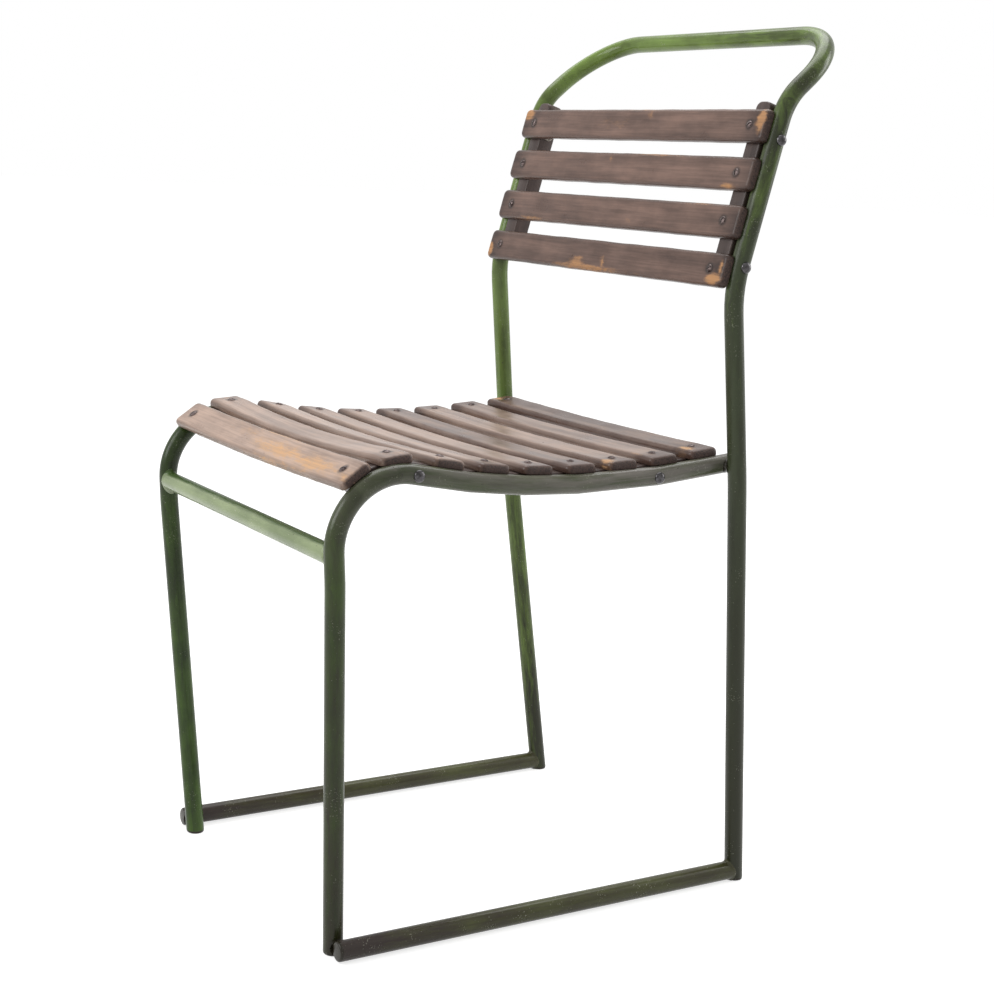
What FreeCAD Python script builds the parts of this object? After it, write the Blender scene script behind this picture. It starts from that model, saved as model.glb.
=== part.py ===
# A slatted stacking chair: green steel tube frame, wooden seat and back slats.
# The origin is on the floor, under the middle of the chair. The sitter faces -Y, and +Z is up.
import FreeCAD, Part
import math
import os
import Sketcher
from FreeCAD import Placement, Rotation, Vector

X_AXIS = Vector(1, 0, 0)
Y_AXIS = Vector(0, 1, 0)
Z_AXIS = Vector(0, 0, 1)

# Driving dimensions in millimetres and degrees. Depths are measured from the front feet.
SIZES = [
    ("tube_diameter", 19.0, "outer diameter of every frame tube"),
    ("tube_wall", 1.6, "wall of every frame tube"),
    ("fit_gap", 0.2, "room left between curved pieces that touch"),
    ("front_foot_spacing", 330.0, "between the axes of the front feet"),
    ("front_leg_lean", 4.6, "forward lean of the front legs, degrees"),
    ("front_bend_radius", 65.0, "axis radius of the bend from leg to seat rail"),
    ("leg_set_radius", 150.0, "axis radius where the leg turns in towards the floor"),
    ("seat_peak_height", 455.0, "rail axis at the top of the front bend"),
    ("seat_dip_height", 435.6, "rail axis at the lowest point of the dished seat"),
    ("seat_dip_depth", 225.0, "depth of that lowest point"),
    ("seat_rear_radius", 1400.0, "axis radius of the rail behind the dip"),
    ("rail_end_lap", 9.0, "length of rail past the axis of the rear leg"),
    ("crossbar_height", 384.0, "axis of the front crossbar"),
    ("leg_set_drop", 25.0, "from the crossbar down to the set in the front leg"),
    ("rear_foot_spacing", 374.0, "between the axes of the rear feet"),
    ("rear_foot_depth", 461.0, "depth of the rear feet"),
    ("upright_spacing", 431.0, "between the axes of the two uprights"),
    ("rail_gap", 1.5, "from a seat rail to the rear leg beside it, bridged by a weld"),
    ("knee_height", 430.0, "where the rear leg becomes the upright"),
    ("knee_depth", 406.0, "depth of the upright there"),
    ("knee_radius", 400.0, "axis radius of that slight bend"),
    ("waist_height", 623.5, "where the upright starts to lean back"),
    ("waist_depth", 384.6, "depth of the upright there"),
    ("waist_radius", 130.0, "axis radius of that bend"),
    ("back_lean", 15.2, "lean of the slatted back, degrees"),
    ("crook_height", 811.0, "where the upright turns back above the slats"),
    ("crook_radius", 70.0, "axis radius of that bend"),
    ("top_rail_depth", 518.0, "depth of the top rail"),
    ("top_rail_height", 882.0, "height of the top rail axis"),
    ("top_corner_radius", 76.0, "axis radius of the two top corners"),
    ("runner_front_lap", 4.0, "length of runner in front of the front foot's axis"),
    ("runner_clearance", 1.0, "room under the floor runners"),
    ("slat_width", 34.0, "every slat"),
    ("slat_thickness", 8.5, "every slat"),
    ("slat_corner_radius", 6.0, "corners of a slat's outline"),
    ("slat_edge_radius", 4.5, "rounded upper edge of a slat"),
    ("seat_slat_reach", 0.0, "end of a seat slat past the axis of its rail"),
    ("back_slat_reach", 1.5, "end of a back slat past the axis of its upright"),
    ("front_slat_angle", 35.0, "tilt of the first seat slat on the bend, degrees"),
    ("second_slat_depth", 32.6, "depth of the second seat slat"),
    ("seat_slat_pitch", 49.8, "between seat slats, along the depth"),
    ("top_slat_height", 780.5, "tube axis behind the middle of the top back slat"),
    ("back_slat_pitch", 49.1, "between back slats, along the upright"),
    ("seat_batten_width", 24.0, "seat batten, across the chair"),
    ("back_batten_width", 21.0, "back batten, across the chair"),
    ("batten_depth", 19.0, "every batten, square to the slats"),
    ("screw_inset", 12.5, "slat screws from the outer face of their batten"),
    ("batten_front_angle", 51.0, "front end of the seat batten on the bend, degrees"),
    ("batten_rear_depth", 396.0, "rear end of the seat batten"),
    ("batten_rise", 27.0, "back batten above the middle of the top slat"),
    ("batten_foot", 11.0, "back batten below the middle of the lowest slat"),
    ("batten_top_radius", 7.0, "rounded top corners of a back batten"),
    ("screw_diameter", 4.0, "shank of the slat screws"),
    ("screw_length", 16.0, "slat screw under its head"),
    ("screw_bore_extra", 1.0, "bore in a batten past the screw's point"),
    ("screw_head_diameter", 8.5, "domed head of the slat screws"),
    ("screw_head_height", 2.6, "domed head of the slat screws"),
    ("bolt_diameter", 5.0, "shank of the batten bolts"),
    ("bolt_head_diameter", 11.5, "domed head of the batten bolts"),
    ("bolt_head_height", 3.6, "domed head of the batten bolts"),
    ("bolt_tip", 2.5, "bolt end past its nut"),
    ("washer_diameter", 12.5, "washer under each nut"),
    ("washer_thickness", 1.2, "washer under each nut"),
    ("nut_across_flats", 8.0, "nut of a batten bolt"),
    ("nut_thickness", 4.0, "nut of a batten bolt"),
    ("front_seat_bolt_depth", 46.5, "front bolt of the seat batten"),
    ("rear_seat_bolt_depth", 317.0, "rear bolt of the seat batten"),
    ("lower_back_bolt_height", 646.0, "lower bolt of the back batten"),
    ("upper_back_bolt_height", 771.0, "upper bolt of the back batten"),
    ("plug_flange", 3.0, "part of an end plug that shows"),
    ("plug_round", 2.0, "rounded rim of an end plug"),
    ("plug_spigot", 6.0, "part of an end plug inside its tube"),
    ("plug_play", 0.9, "room round the spigot of an end plug"),
    ("weld_reach", 4.5, "how far a weld fillet spreads from a butt joint"),
    ("weld_length", 6.75, "how far a weld fillet runs along the bar"),
    ("weld_neck", 7.5, "radius of the weld between two crossing tubes"),
]
# Sizes that follow from the others
DERIVED = [
    ("seat_rail_spacing", "upright_spacing - 2 * ( tube_diameter + rail_gap )", "between the seat rails"),
    ("seat_slat_length", "seat_rail_spacing + 2 * seat_slat_reach", "every seat slat"),
    ("back_slat_length", "upright_spacing + 2 * back_slat_reach", "every back slat"),
]
SEAT_SLATS = 9
BACK_SLATS = 4
FLOOR_MARGIN = 15.0
SIDES = (("left", 1), ("right", -1))


def make_sheet(doc):
    """Write the sizes into a spreadsheet, one alias to a size, the derived ones as formulas."""
    sheet = doc.addObject("Spreadsheet::Sheet", "sizes")
    rows = SIZES + [(alias, "=" + formula, note) for alias, formula, note in DERIVED]
    for row, (alias, value, note) in enumerate(rows, start=1):
        sheet.set("A%d" % row, alias)
        sheet.set("B%d" % row, str(value))
        sheet.set("C%d" % row, note)
        sheet.setAlias("B%d" % row, alias)
    doc.recompute()
    return sheet


doc = FreeCAD.newDocument("slatted_chair")
sheet = make_sheet(doc)


def size(alias):
    """A size, read from the sheet."""
    return float(sheet.get(alias))


def bind(item, target, expression):
    """Tie a property of an object to the sheet, each alias written as it stands there."""
    words = expression.split(" ")
    aliases = [alias for alias, value, note in SIZES + DERIVED]
    item.setExpression(target, " ".join("sizes." + w if w in aliases else w for w in words))


def new_body(label):
    body = doc.addObject("PartDesign::Body", label)
    body.Label = label
    return body


def new_sketch(body, role, name, offset=None):
    """A sketch on one of the body's own origin planes, moved by an offset where one is given."""
    sketch = body.newObject("Sketcher::SketchObject", name)
    plane = [item for item in body.Origin.OriginFeatures if item.Role == role][0]
    sketch.AttachmentSupport = [(plane, "")]
    sketch.MapMode = "FlatFace"
    if offset is not None:
        sketch.AttachmentOffset = offset
    return sketch


def add_circle(sketch, radius_expression, centre=(0.0, 0.0)):
    """A circle at a fixed centre, its radius tied to the sheet."""
    circle = Part.Circle(Vector(centre[0], centre[1], 0), Z_AXIS, 1.0)
    index = sketch.addGeometry(circle)
    sketch.addConstraint(Sketcher.Constraint("DistanceX", -1, 1, index, 3, centre[0]))
    sketch.addConstraint(Sketcher.Constraint("DistanceY", -1, 1, index, 3, centre[1]))
    constraint = sketch.addConstraint(Sketcher.Constraint("Radius", index, 1.0))
    bind(sketch, "Constraints[%d]" % constraint, radius_expression)


def add_rectangle(sketch, width_expression, height_expression, width, height):
    """A rectangle round the sketch's origin, its sides tied to the sheet."""
    half_x = width / 2
    half_y = height / 2
    add_outline(sketch, [(-half_x, -half_y), (half_x, -half_y), (half_x, half_y), (-half_x, half_y)])
    for number in range(4):
        sketch.addConstraint(Sketcher.Constraint("Coincident", number, 2, (number + 1) % 4, 1))
        kind = "Vertical" if number % 2 else "Horizontal"
        sketch.addConstraint(Sketcher.Constraint(kind, number))
    sketch.addConstraint(Sketcher.Constraint("Symmetric", 0, 1, 2, 1, -1, 1))
    across = sketch.addConstraint(Sketcher.Constraint("DistanceX", 0, 1, 0, 2, width))
    bind(sketch, "Constraints[%d]" % across, width_expression)
    along = sketch.addConstraint(Sketcher.Constraint("DistanceY", 1, 1, 1, 2, height))
    bind(sketch, "Constraints[%d]" % along, height_expression)


def add_outline(sketch, points):
    """Straight lines through the points, closed."""
    for start, end in zip(points, points[1:] + points[:1]):
        sketch.addGeometry(Part.LineSegment(Vector(*start, 0), Vector(*end, 0)))


def edge_names(shape, test):
    """Names of the edges that pass the test."""
    return ["Edge%d" % (i + 1) for i, edge in enumerate(shape.Edges) if test(edge)]


def cut_through(body, sketch, name):
    """Cut a sketch right through the body on both sides, and check that it cut something."""
    before = body.Shape.Volume
    pocket = body.newObject("PartDesign::Pocket", name)
    pocket.Profile = sketch
    pocket.Type = "ThroughAll"
    pocket.Midplane = True
    doc.recompute()
    if body.Shape.Volume >= before:
        raise RuntimeError("%s cuts nothing" % name)
    return pocket


tube_radius = size("tube_diameter") / 2
rail_half = size("seat_rail_spacing") / 2
upright_half = size("upright_spacing") / 2
lean = math.radians(size("back_lean"))


def fillet_path(points, radii):
    """A wire of straight runs joined by tangent arcs, one radius to each inner point."""
    edges = []
    start = points[0]
    for before, corner, after, radius in zip(points, points[1:], points[2:], radii):
        into = (corner - before).normalize()
        out = (after - corner).normalize()
        turn = into.getAngle(out)
        reach = radius * math.tan(turn / 2)
        first = corner - into * reach
        last = corner + out * reach
        centre = corner + (out - into).normalize() * (radius / math.cos(turn / 2))
        middle = centre + (corner - centre).normalize() * radius
        edges.append(Part.LineSegment(start, first).toShape())
        edges.append(Part.Arc(first, middle, last).toShape())
        start = last
    edges.append(Part.LineSegment(start, points[-1]).toShape())
    return edges


def make_path(label, edges):
    path = doc.addObject("Part::Feature", label)
    path.Shape = Part.Wire(edges)
    return path


def sweep_circle(label, path, expressions):
    """Sweep one circle, or two that make a ring, along a path."""
    body = new_body(label)
    first = path.Shape.Edges[0]
    tangent = first.tangentAt(first.FirstParameter)
    offset = Placement(path.Shape.OrderedVertexes[0].Point, Rotation(Z_AXIS, tangent))
    ring = new_sketch(body, "XY_Plane", label + "_section", offset)
    for expression in expressions:
        add_circle(ring, expression)
    pipe = body.newObject("PartDesign::AdditivePipe", label + "_bend")
    pipe.Profile = ring
    pipe.Spine = (path, edge_names(path.Shape, lambda edge: True))
    doc.recompute()
    return body


def make_tube(label, path):
    """The hollow tube along a path, and the solid core that other pieces are cut to."""
    tube = sweep_circle(label, path, ["tube_diameter / 2", "tube_diameter / 2 - tube_wall"])
    core = sweep_circle(label + "_core", path, ["tube_diameter / 2 + fit_gap"])
    return tube, core


def trim_at_floor(body):
    """Cut a leg off flat, one plug flange above the floor."""
    offset = Placement(Vector(0, 0, size("plug_flange")), Rotation())
    floor = new_sketch(body, "XY_Plane", body.Label + "_floor", offset)
    reach = size("upright_spacing") + size("rear_foot_depth")
    add_outline(floor, [(-reach, -reach), (reach, -reach), (reach, reach), (-reach, reach)])
    before = body.Shape.Volume
    pocket = body.newObject("PartDesign::Pocket", body.Label + "_foot_cut")
    pocket.Profile = floor
    pocket.Type = "ThroughAll"
    doc.recompute()
    if body.Shape.Volume < before / 2 or body.Shape.Volume >= before:
        raise RuntimeError("%s is trimmed on the wrong side" % body.Label)


def drill_across(body, places, name):
    """Bolt holes along X, at (depth, height) places in the side view."""
    holes = new_sketch(body, "YZ_Plane", name + "_sketch")
    for place in places:
        add_circle(holes, "bolt_diameter / 2 + fit_gap", place)
    cut_through(body, holes, name)


# Side view of the seat rail: leg line, front bend, then two long arcs that meet at the dip
leg_lean = math.radians(size("front_leg_lean"))
bend_radius = size("front_bend_radius")
bend_centre = Vector(
    0,
    (bend_radius - (size("seat_peak_height") - bend_radius) * math.sin(leg_lean)) / math.cos(leg_lean),
    size("seat_peak_height") - bend_radius,
)
dip = Vector(0, size("seat_dip_depth"), size("seat_dip_height"))
dip_reach = dip - bend_centre
front_sag = (dip_reach.Length ** 2 - bend_radius ** 2) / (2 * (bend_radius - dip_reach.z))
rear_sag = size("seat_rear_radius")
front_sag_centre = dip + Z_AXIS * front_sag
rear_sag_centre = dip + Z_AXIS * rear_sag
sag_start = math.atan2(front_sag_centre.y - bend_centre.y, front_sag_centre.z - bend_centre.z)


def on_arc(centre, radius, angle):
    """A point in the side view, the angle measured from straight up towards the rear."""
    return centre + Vector(0, math.sin(angle), math.cos(angle)) * radius


def rail_angle(depth):
    """Slope of the seat rail at a depth: positive where it rises to the rear."""
    if depth < on_arc(bend_centre, bend_radius, sag_start).y:
        return -math.asin((depth - bend_centre.y) / bend_radius)
    if depth < dip.y:
        return math.asin((depth - dip.y) / front_sag)
    return math.asin((depth - dip.y) / rear_sag)


def rail_point(depth):
    """The rail's axis at a depth."""
    slope = rail_angle(depth)
    if depth < on_arc(bend_centre, bend_radius, sag_start).y:
        return on_arc(bend_centre, bend_radius, -slope)
    if depth < dip.y:
        return on_arc(front_sag_centre, -front_sag, -slope)
    return on_arc(rear_sag_centre, -rear_sag, -slope)


def leg_depth(height):
    """Depth of the front leg's axis at a height."""
    return -height * math.tan(leg_lean)


# Side view of the upright behind the back slats
waist = Vector(0, size("waist_depth"), size("waist_height"))
back_up = Vector(0, math.sin(lean), math.cos(lean))
back_out = Vector(0, -math.cos(lean), math.sin(lean))


def back_point(height):
    """The upright's axis at a height behind the slats."""
    return waist + back_up * ((height - waist.z) / back_up.z)


def rear_leg_depth(height):
    """Depth of the rear leg's axis at a height below the knee."""
    share = height / size("knee_height")
    return size("rear_foot_depth") + (size("knee_depth") - size("rear_foot_depth")) * share


def rear_leg_half(height):
    """Half the rear legs' spacing at a height below the knee."""
    foot = size("rear_foot_spacing") / 2
    return foot + (upright_half - foot) * height / size("knee_height")


def make_rear_hoop():
    """One tube: both rear legs, both uprights and the top rail, with the back bolt holes."""
    foot_half = rear_leg_half(-FLOOR_MARGIN)
    crook = back_point(size("crook_height"))
    near = [
        Vector(foot_half, rear_leg_depth(-FLOOR_MARGIN), -FLOOR_MARGIN),
        Vector(upright_half, size("knee_depth"), size("knee_height")),
        Vector(upright_half, waist.y, waist.z),
        Vector(upright_half, crook.y, crook.z),
        Vector(upright_half, size("top_rail_depth"), size("top_rail_height")),
    ]
    far = [Vector(-p.x, p.y, p.z) for p in reversed(near)]
    near_radii = [size("knee_radius"), size("waist_radius"), size("crook_radius"), size("top_corner_radius")]
    path = make_path("rear_hoop_path", fillet_path(near + far, near_radii + near_radii[::-1]))
    hoop, core = make_tube("rear_hoop", path)
    trim_at_floor(hoop)
    places = [back_point(size(name)) for name in ("lower_back_bolt_height", "upper_back_bolt_height")]
    drill_across(hoop, [(p.y, p.z) for p in places], "rear_hoop_bolt_holes")
    return hoop, core


def make_front_leg(side, sign):
    """One tube each side: the front leg, its bend and the dished seat rail."""
    foot_half = size("front_foot_spacing") / 2
    set_height = size("crossbar_height") - size("leg_set_drop")
    tail_depth = rear_leg_depth(size("seat_dip_height")) + size("rail_end_lap")
    set_point = Vector(sign * rail_half, leg_depth(set_height), set_height)
    foot = Vector(sign * foot_half, 0, 0)
    start = foot + (foot - set_point) * (FLOOR_MARGIN / set_height)
    bend_start = on_arc(bend_centre, bend_radius, -math.pi / 2 - leg_lean)
    side_shift = X_AXIS * (sign * rail_half)
    edges = fillet_path([start, set_point, bend_start + side_shift], [size("leg_set_radius")])
    arcs = [
        (bend_centre, bend_radius, -math.pi / 2 - leg_lean, sag_start),
        (front_sag_centre, -front_sag, sag_start, 0.0),
        (rear_sag_centre, -rear_sag, 0.0, -rail_angle(tail_depth)),
    ]
    for centre, radius, first, last in arcs:
        stops = [on_arc(centre, radius, angle) + side_shift for angle in (first, (first + last) / 2, last)]
        edges.append(Part.Arc(*stops).toShape())
    path = make_path(side + "_front_leg_path", edges)
    leg, core = make_tube(side + "_front_leg", path)
    trim_at_floor(leg)
    depths = (size("front_seat_bolt_depth"), size("rear_seat_bolt_depth"))
    places = [rail_point(depth) for depth in depths]
    drill_across(leg, [(p.y, p.z) for p in places], side + "_front_leg_bolt_holes")
    return leg, core, rail_point(tail_depth) + side_shift, rail_angle(tail_depth)


def straight_tube(label, start, end):
    """A straight piece of the frame tube between two points."""
    body = new_body(label)
    ring = new_sketch(body, "XY_Plane", label + "_section")
    add_circle(ring, "tube_diameter / 2")
    add_circle(ring, "tube_diameter / 2 - tube_wall")
    pad = body.newObject("PartDesign::Pad", label + "_length")
    pad.Profile = ring
    pad.Length = (end - start).Length
    body.Placement = Placement(start, Rotation(Z_AXIS, end - start))
    doc.recompute()
    return body


def straight_core(label, start, end, radius_expression):
    """A solid rod between two points, that other pieces are cut to."""
    core = doc.addObject("Part::Cylinder", label)
    bind(core, "Radius", radius_expression)
    core.Height = (end - start).Length
    core.Placement = Placement(start, Rotation(Z_AXIS, end - start))
    return core


def cut_to(label, base, tools):
    """A piece less the tubes that it is fitted round or against."""
    for number, tool in enumerate(tools, start=1):
        last = number == len(tools)
        result = doc.addObject("Part::Cut", label if last else "%s_fit_%d" % (label, number))
        result.Label = label if last else "%s_fit_%d" % (label, number)
        result.Base = base
        result.Tool = tool
        base = result
    doc.recompute()
    return base


def largest_solid(label, source):
    """The main solid of a cut piece, without the slugs that fall inside the tubes."""
    piece = doc.addObject("Part::Feature", label)
    piece.Label = label
    piece.Shape = max(source.Shape.Solids, key=lambda solid: solid.Volume)
    return piece


def make_group(label, members):
    """Like pieces that share one node, as separate solids."""
    group = doc.addObject("Part::Compound", label)
    group.Label = label
    group.Links = members
    doc.recompute()
    return group


def place_copy(master, label, placement):
    """One more of a modelled piece, at a place of its own."""
    copy = doc.addObject("App::Link", label)
    copy.LinkedObject = master
    copy.Placement = placement
    return copy


def revolve(label, outline):
    """A turned piece: an outline of (radius, height) points round the Z axis."""
    body = new_body(label)
    profile = new_sketch(body, "XZ_Plane", label + "_profile")
    add_outline(profile, outline)
    turned = body.newObject("PartDesign::Revolution", label + "_turn")
    turned.Profile = profile
    turned.ReferenceAxis = (profile, ["V_Axis"])
    turned.Angle = 360.0
    doc.recompute()
    return body


def round_top(label, head_diameter, head_height, shank_diameter, shank_length):
    """A domed fastener: its head's seat at Z = 0, its shank below."""
    body = new_body(label)
    head = head_diameter / 2
    shank = shank_diameter / 2
    dome = (head ** 2 + head_height ** 2) / (2 * head_height)
    profile = new_sketch(body, "XZ_Plane", label + "_profile")
    corners = [(0, head_height), (0, -shank_length), (shank, -shank_length), (shank, 0), (head, 0)]
    for start, end in zip(corners, corners[1:]):
        profile.addGeometry(Part.LineSegment(Vector(*start, 0), Vector(*end, 0)))
    sweep = math.asin(head / dome)
    middle = Vector(dome * math.sin(sweep / 2), head_height - dome + dome * math.cos(sweep / 2), 0)
    profile.addGeometry(Part.Arc(Vector(head, 0, 0), middle, Vector(0, head_height, 0)))
    turned = body.newObject("PartDesign::Revolution", label + "_turn")
    turned.Profile = profile
    turned.ReferenceAxis = (profile, ["V_Axis"])
    turned.Angle = 360.0
    doc.recompute()
    return body


def make_plug(label):
    """A flat end plug: its flange under the tube's end, its spigot up inside."""
    outer = tube_radius
    inner = tube_radius - size("tube_wall") - size("plug_play")
    flange = size("plug_flange")
    top = flange + size("plug_spigot")
    body = revolve(label, [(0, 0), (outer, 0), (outer, flange), (inner, flange), (inner, top), (0, top)])
    turned = body.Tip
    rim = edge_names(
        turned.Shape,
        lambda edge: edge.BoundBox.ZMax < flange / 2 and edge.BoundBox.XMax > inner,
    )
    rounding = body.newObject("PartDesign::Fillet", label + "_rim")
    rounding.Base = (turned, rim)
    bind(rounding, "Radius", "plug_round")
    doc.recompute()
    return body


def make_slat(label, length_alias, screw_half, placement):
    """A slat with rounded corners and a rounded upper edge, and a screw hole at each end."""
    body = new_body(label)
    outline = new_sketch(body, "XY_Plane", label + "_outline")
    add_rectangle(outline, length_alias, "slat_width", size(length_alias), size("slat_width"))
    pad = body.newObject("PartDesign::Pad", label + "_board")
    pad.Profile = outline
    bind(pad, "Length", "slat_thickness")
    doc.recompute()
    upright_edges = edge_names(pad.Shape, lambda edge: edge.BoundBox.ZLength > size("slat_thickness") / 2)
    corner = body.newObject("PartDesign::Fillet", label + "_corners")
    corner.Base = (pad, upright_edges)
    bind(corner, "Radius", "slat_corner_radius")
    doc.recompute()
    top = size("slat_thickness")
    top_edges = edge_names(corner.Shape, lambda edge: edge.BoundBox.ZMin > top - 0.01)
    edge = body.newObject("PartDesign::Fillet", label + "_edge")
    edge.Base = (corner, top_edges)
    bind(edge, "Radius", "slat_edge_radius")
    doc.recompute()
    holes = new_sketch(body, "XY_Plane", label + "_holes")
    for sign in (1, -1):
        add_circle(holes, "screw_diameter / 2 + fit_gap", (sign * screw_half, 0.0))
    cut_through(body, holes, label + "_screw_holes")
    body.Placement = placement
    return body


def bore_for_screws(body, sketch, name):
    """Blind holes for the screw points, from the face that the slats lie on."""
    before = body.Shape.Volume
    bore = body.newObject("PartDesign::Pocket", name)
    bore.Profile = sketch
    bind(bore, "Length", "screw_length - slat_thickness + screw_bore_extra - fit_gap")
    doc.recompute()
    if body.Shape.Volume >= before:
        raise RuntimeError("%s cuts nothing" % name)


def turn_about_x(angle):
    return Rotation(X_AXIS, math.degrees(angle))


# Places of the slats: the middle of each slat's flat back, and its tilt
def seat_slat_places():
    first = -math.radians(size("front_slat_angle"))
    rest = tube_radius + size("fit_gap")
    places = [(on_arc(bend_centre, bend_radius + rest, first), -first)]
    for number in range(SEAT_SLATS - 1):
        depth = size("second_slat_depth") + number * size("seat_slat_pitch")
        slope = rail_angle(depth)
        hollow = size("slat_width") ** 2 / (8 * (front_sag - tube_radius))
        normal = Vector(0, -math.sin(slope), math.cos(slope))
        places.append((rail_point(depth) + normal * (rest + hollow), slope))
    return places


def back_slat_places():
    top = back_point(size("top_slat_height"))
    rest = tube_radius + size("fit_gap")
    steps = [number * size("back_slat_pitch") for number in range(BACK_SLATS)]
    return [(top - back_up * step + back_out * rest, math.pi / 2 - lean) for step in steps]


# Across the chair: the outer face of each batten, its middle, and the slat screws in it
batten_face = {
    "seat": rail_half - tube_radius - size("fit_gap"),
    "back": upright_half - tube_radius - size("fit_gap"),
}
batten_middle = {name: batten_face[name] - size(name + "_batten_width") / 2 for name in batten_face}
screw_line = {name: batten_face[name] - size("screw_inset") for name in batten_face}


def make_seat_batten(side, sign):
    """A bar sawn to the curve of the seat rail, with holes for its bolts and for the slat screws."""
    label = side + "_seat_batten"
    body = new_body(label + "_bar")
    depth_end = size("batten_rear_depth")
    rear_angle = math.asin((depth_end - dip.y) / rear_sag)
    front_angle = -math.radians(size("batten_front_angle"))
    below = size("batten_depth") - tube_radius
    arcs = [
        (bend_centre, bend_radius, front_angle, sag_start),
        (front_sag_centre, -front_sag, sag_start, 0.0),
        (rear_sag_centre, -rear_sag, 0.0, -rear_angle),
    ]
    outline = new_sketch(body, "YZ_Plane", label + "_outline")
    faces = []
    for offset in (tube_radius, -below):
        stops = []
        for centre, radius, first, last in arcs:
            angles = (first, (first + last) / 2, last)
            stops.append([on_arc(centre, radius + offset, angle) for angle in angles])
        faces.append(stops)
    for stops in faces[0] + faces[1]:
        flat = [Vector(p.y, p.z, 0) for p in stops]
        outline.addGeometry(Part.Arc(*flat))
    for end in (0, -1):
        upper = faces[0][end][end]
        lower = faces[1][end][end]
        outline.addGeometry(Part.LineSegment(Vector(upper.y, upper.z, 0), Vector(lower.y, lower.z, 0)))
    pad = body.newObject("PartDesign::Pad", label + "_thickness")
    pad.Profile = outline
    pad.Midplane = True
    bind(pad, "Length", "seat_batten_width")
    doc.recompute()
    depths = (size("front_seat_bolt_depth"), size("rear_seat_bolt_depth"))
    drill_across(body, [(rail_point(d).y, rail_point(d).z) for d in depths], label + "_bolt_holes")
    body.Placement = Placement(X_AXIS * (sign * batten_middle["seat"]), Rotation())
    bores = []
    for number, (place, tilt) in enumerate(seat_slat_places(), start=1):
        turn = turn_about_x(tilt)
        depth = size("screw_length") - size("slat_thickness") + size("screw_bore_extra")
        bottom = place - turn.multVec(Z_AXIS) * depth
        start = bottom + X_AXIS * (sign * screw_line["seat"])
        end = start + turn.multVec(Z_AXIS) * size("batten_depth")
        name = "%s_bore_%d" % (label, number)
        bores.append(straight_core(name, start, end, "screw_diameter / 2 + fit_gap"))
    return cut_to(label, body, [make_group(label + "_bores", bores)])


def make_back_batten(side, sign):
    """A straight bar inside the upright, round at its top corners."""
    label = side + "_back_batten"
    body = new_body(label)
    top = size("batten_rise")
    foot = -(BACK_SLATS - 1) * size("back_slat_pitch") - size("batten_foot")
    half = size("back_batten_width") / 2
    outline = new_sketch(body, "XY_Plane", label + "_outline")
    add_outline(outline, [(-half, foot), (half, foot), (half, top), (-half, top)])
    pad = body.newObject("PartDesign::Pad", label + "_thickness")
    pad.Profile = outline
    pad.Reversed = True
    bind(pad, "Length", "batten_depth")
    doc.recompute()
    top_corners = edge_names(
        pad.Shape,
        lambda edge: edge.BoundBox.ZLength > size("batten_depth") / 2 and edge.BoundBox.YMin > 0,
    )
    corner = body.newObject("PartDesign::Fillet", label + "_top")
    corner.Base = (pad, top_corners)
    bind(corner, "Radius", "batten_top_radius")
    doc.recompute()
    holes = new_sketch(body, "YZ_Plane", label + "_bolts")
    for name in ("lower_back_bolt_height", "upper_back_bolt_height"):
        along = (size(name) - size("top_slat_height")) / back_up.z
        add_circle(holes, "bolt_diameter / 2 + fit_gap", (along, -tube_radius))
    cut_through(body, holes, label + "_bolt_holes")
    screws = new_sketch(body, "XY_Plane", label + "_screws")
    offset = sign * (screw_line["back"] - batten_middle["back"])
    for number in range(BACK_SLATS):
        add_circle(screws, "screw_diameter / 2 + fit_gap", (offset, -number * size("back_slat_pitch")))
    bore_for_screws(body, screws, label + "_screw_bores")
    place = back_point(size("top_slat_height")) + back_out * tube_radius
    place += X_AXIS * (sign * batten_middle["back"])
    body.Placement = Placement(place, turn_about_x(math.pi / 2 - lean))
    return body


def make_fasteners(screw, bolt, washer, nut):
    """All screws, bolts, washers and nuts, as groups of like pieces."""
    thickness = size("slat_thickness")
    groups = []
    for name, places in (("seat", seat_slat_places()), ("back", back_slat_places())):
        screws = []
        for number, (place, tilt) in enumerate(places, start=1):
            turn = turn_about_x(tilt)
            head = place + turn.multVec(Z_AXIS) * thickness
            for side, sign in SIDES:
                spot = Placement(head + X_AXIS * (sign * screw_line[name]), turn)
                screws.append(place_copy(screw, "%s_screw_%d_%s" % (name, number, side), spot))
        groups.append(make_group(name + "_slat_screws", screws))
    seat_points = [rail_point(size(n)) for n in ("front_seat_bolt_depth", "rear_seat_bolt_depth")]
    back_points = [back_point(size(n)) for n in ("lower_back_bolt_height", "upper_back_bolt_height")]
    sets = (("seat", seat_points, rail_half), ("back", back_points, upright_half))
    for name, points, half in sets:
        seat = half + tube_radius
        inner = batten_face[name] - size(name + "_batten_width")
        bolts, washers, nuts = [], [], []
        for number, point in enumerate(points, start=1):
            for side, sign in SIDES:
                turn = Rotation(Z_AXIS, X_AXIS * sign)
                tag = "%s_%d_%s" % (name, number, side)
                washer_face = inner - size("washer_thickness")
                nut_face = washer_face - size("nut_thickness")
                head_place, washer_place, nut_place = [
                    Placement(point + X_AXIS * (sign * face), turn) for face in (seat, washer_face, nut_face)
                ]
                bolts.append(place_copy(bolt[name], tag + "_bolt", head_place))
                washers.append(place_copy(washer, tag + "_washer", washer_place))
                nuts.append(place_copy(nut, tag + "_nut", nut_place))
        groups.append(make_group(name + "_batten_bolts", bolts))
        groups.append(make_group(name + "_bolt_washers", washers))
        groups.append(make_group(name + "_bolt_nuts", nuts))
    return groups


def bolt_length(name):
    """Under the head: through the tube, the batten, the washer and the nut."""
    stack = size("tube_diameter") + size("fit_gap") + size(name + "_batten_width")
    return stack + size("washer_thickness") + size("nut_thickness") + size("bolt_tip")


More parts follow.
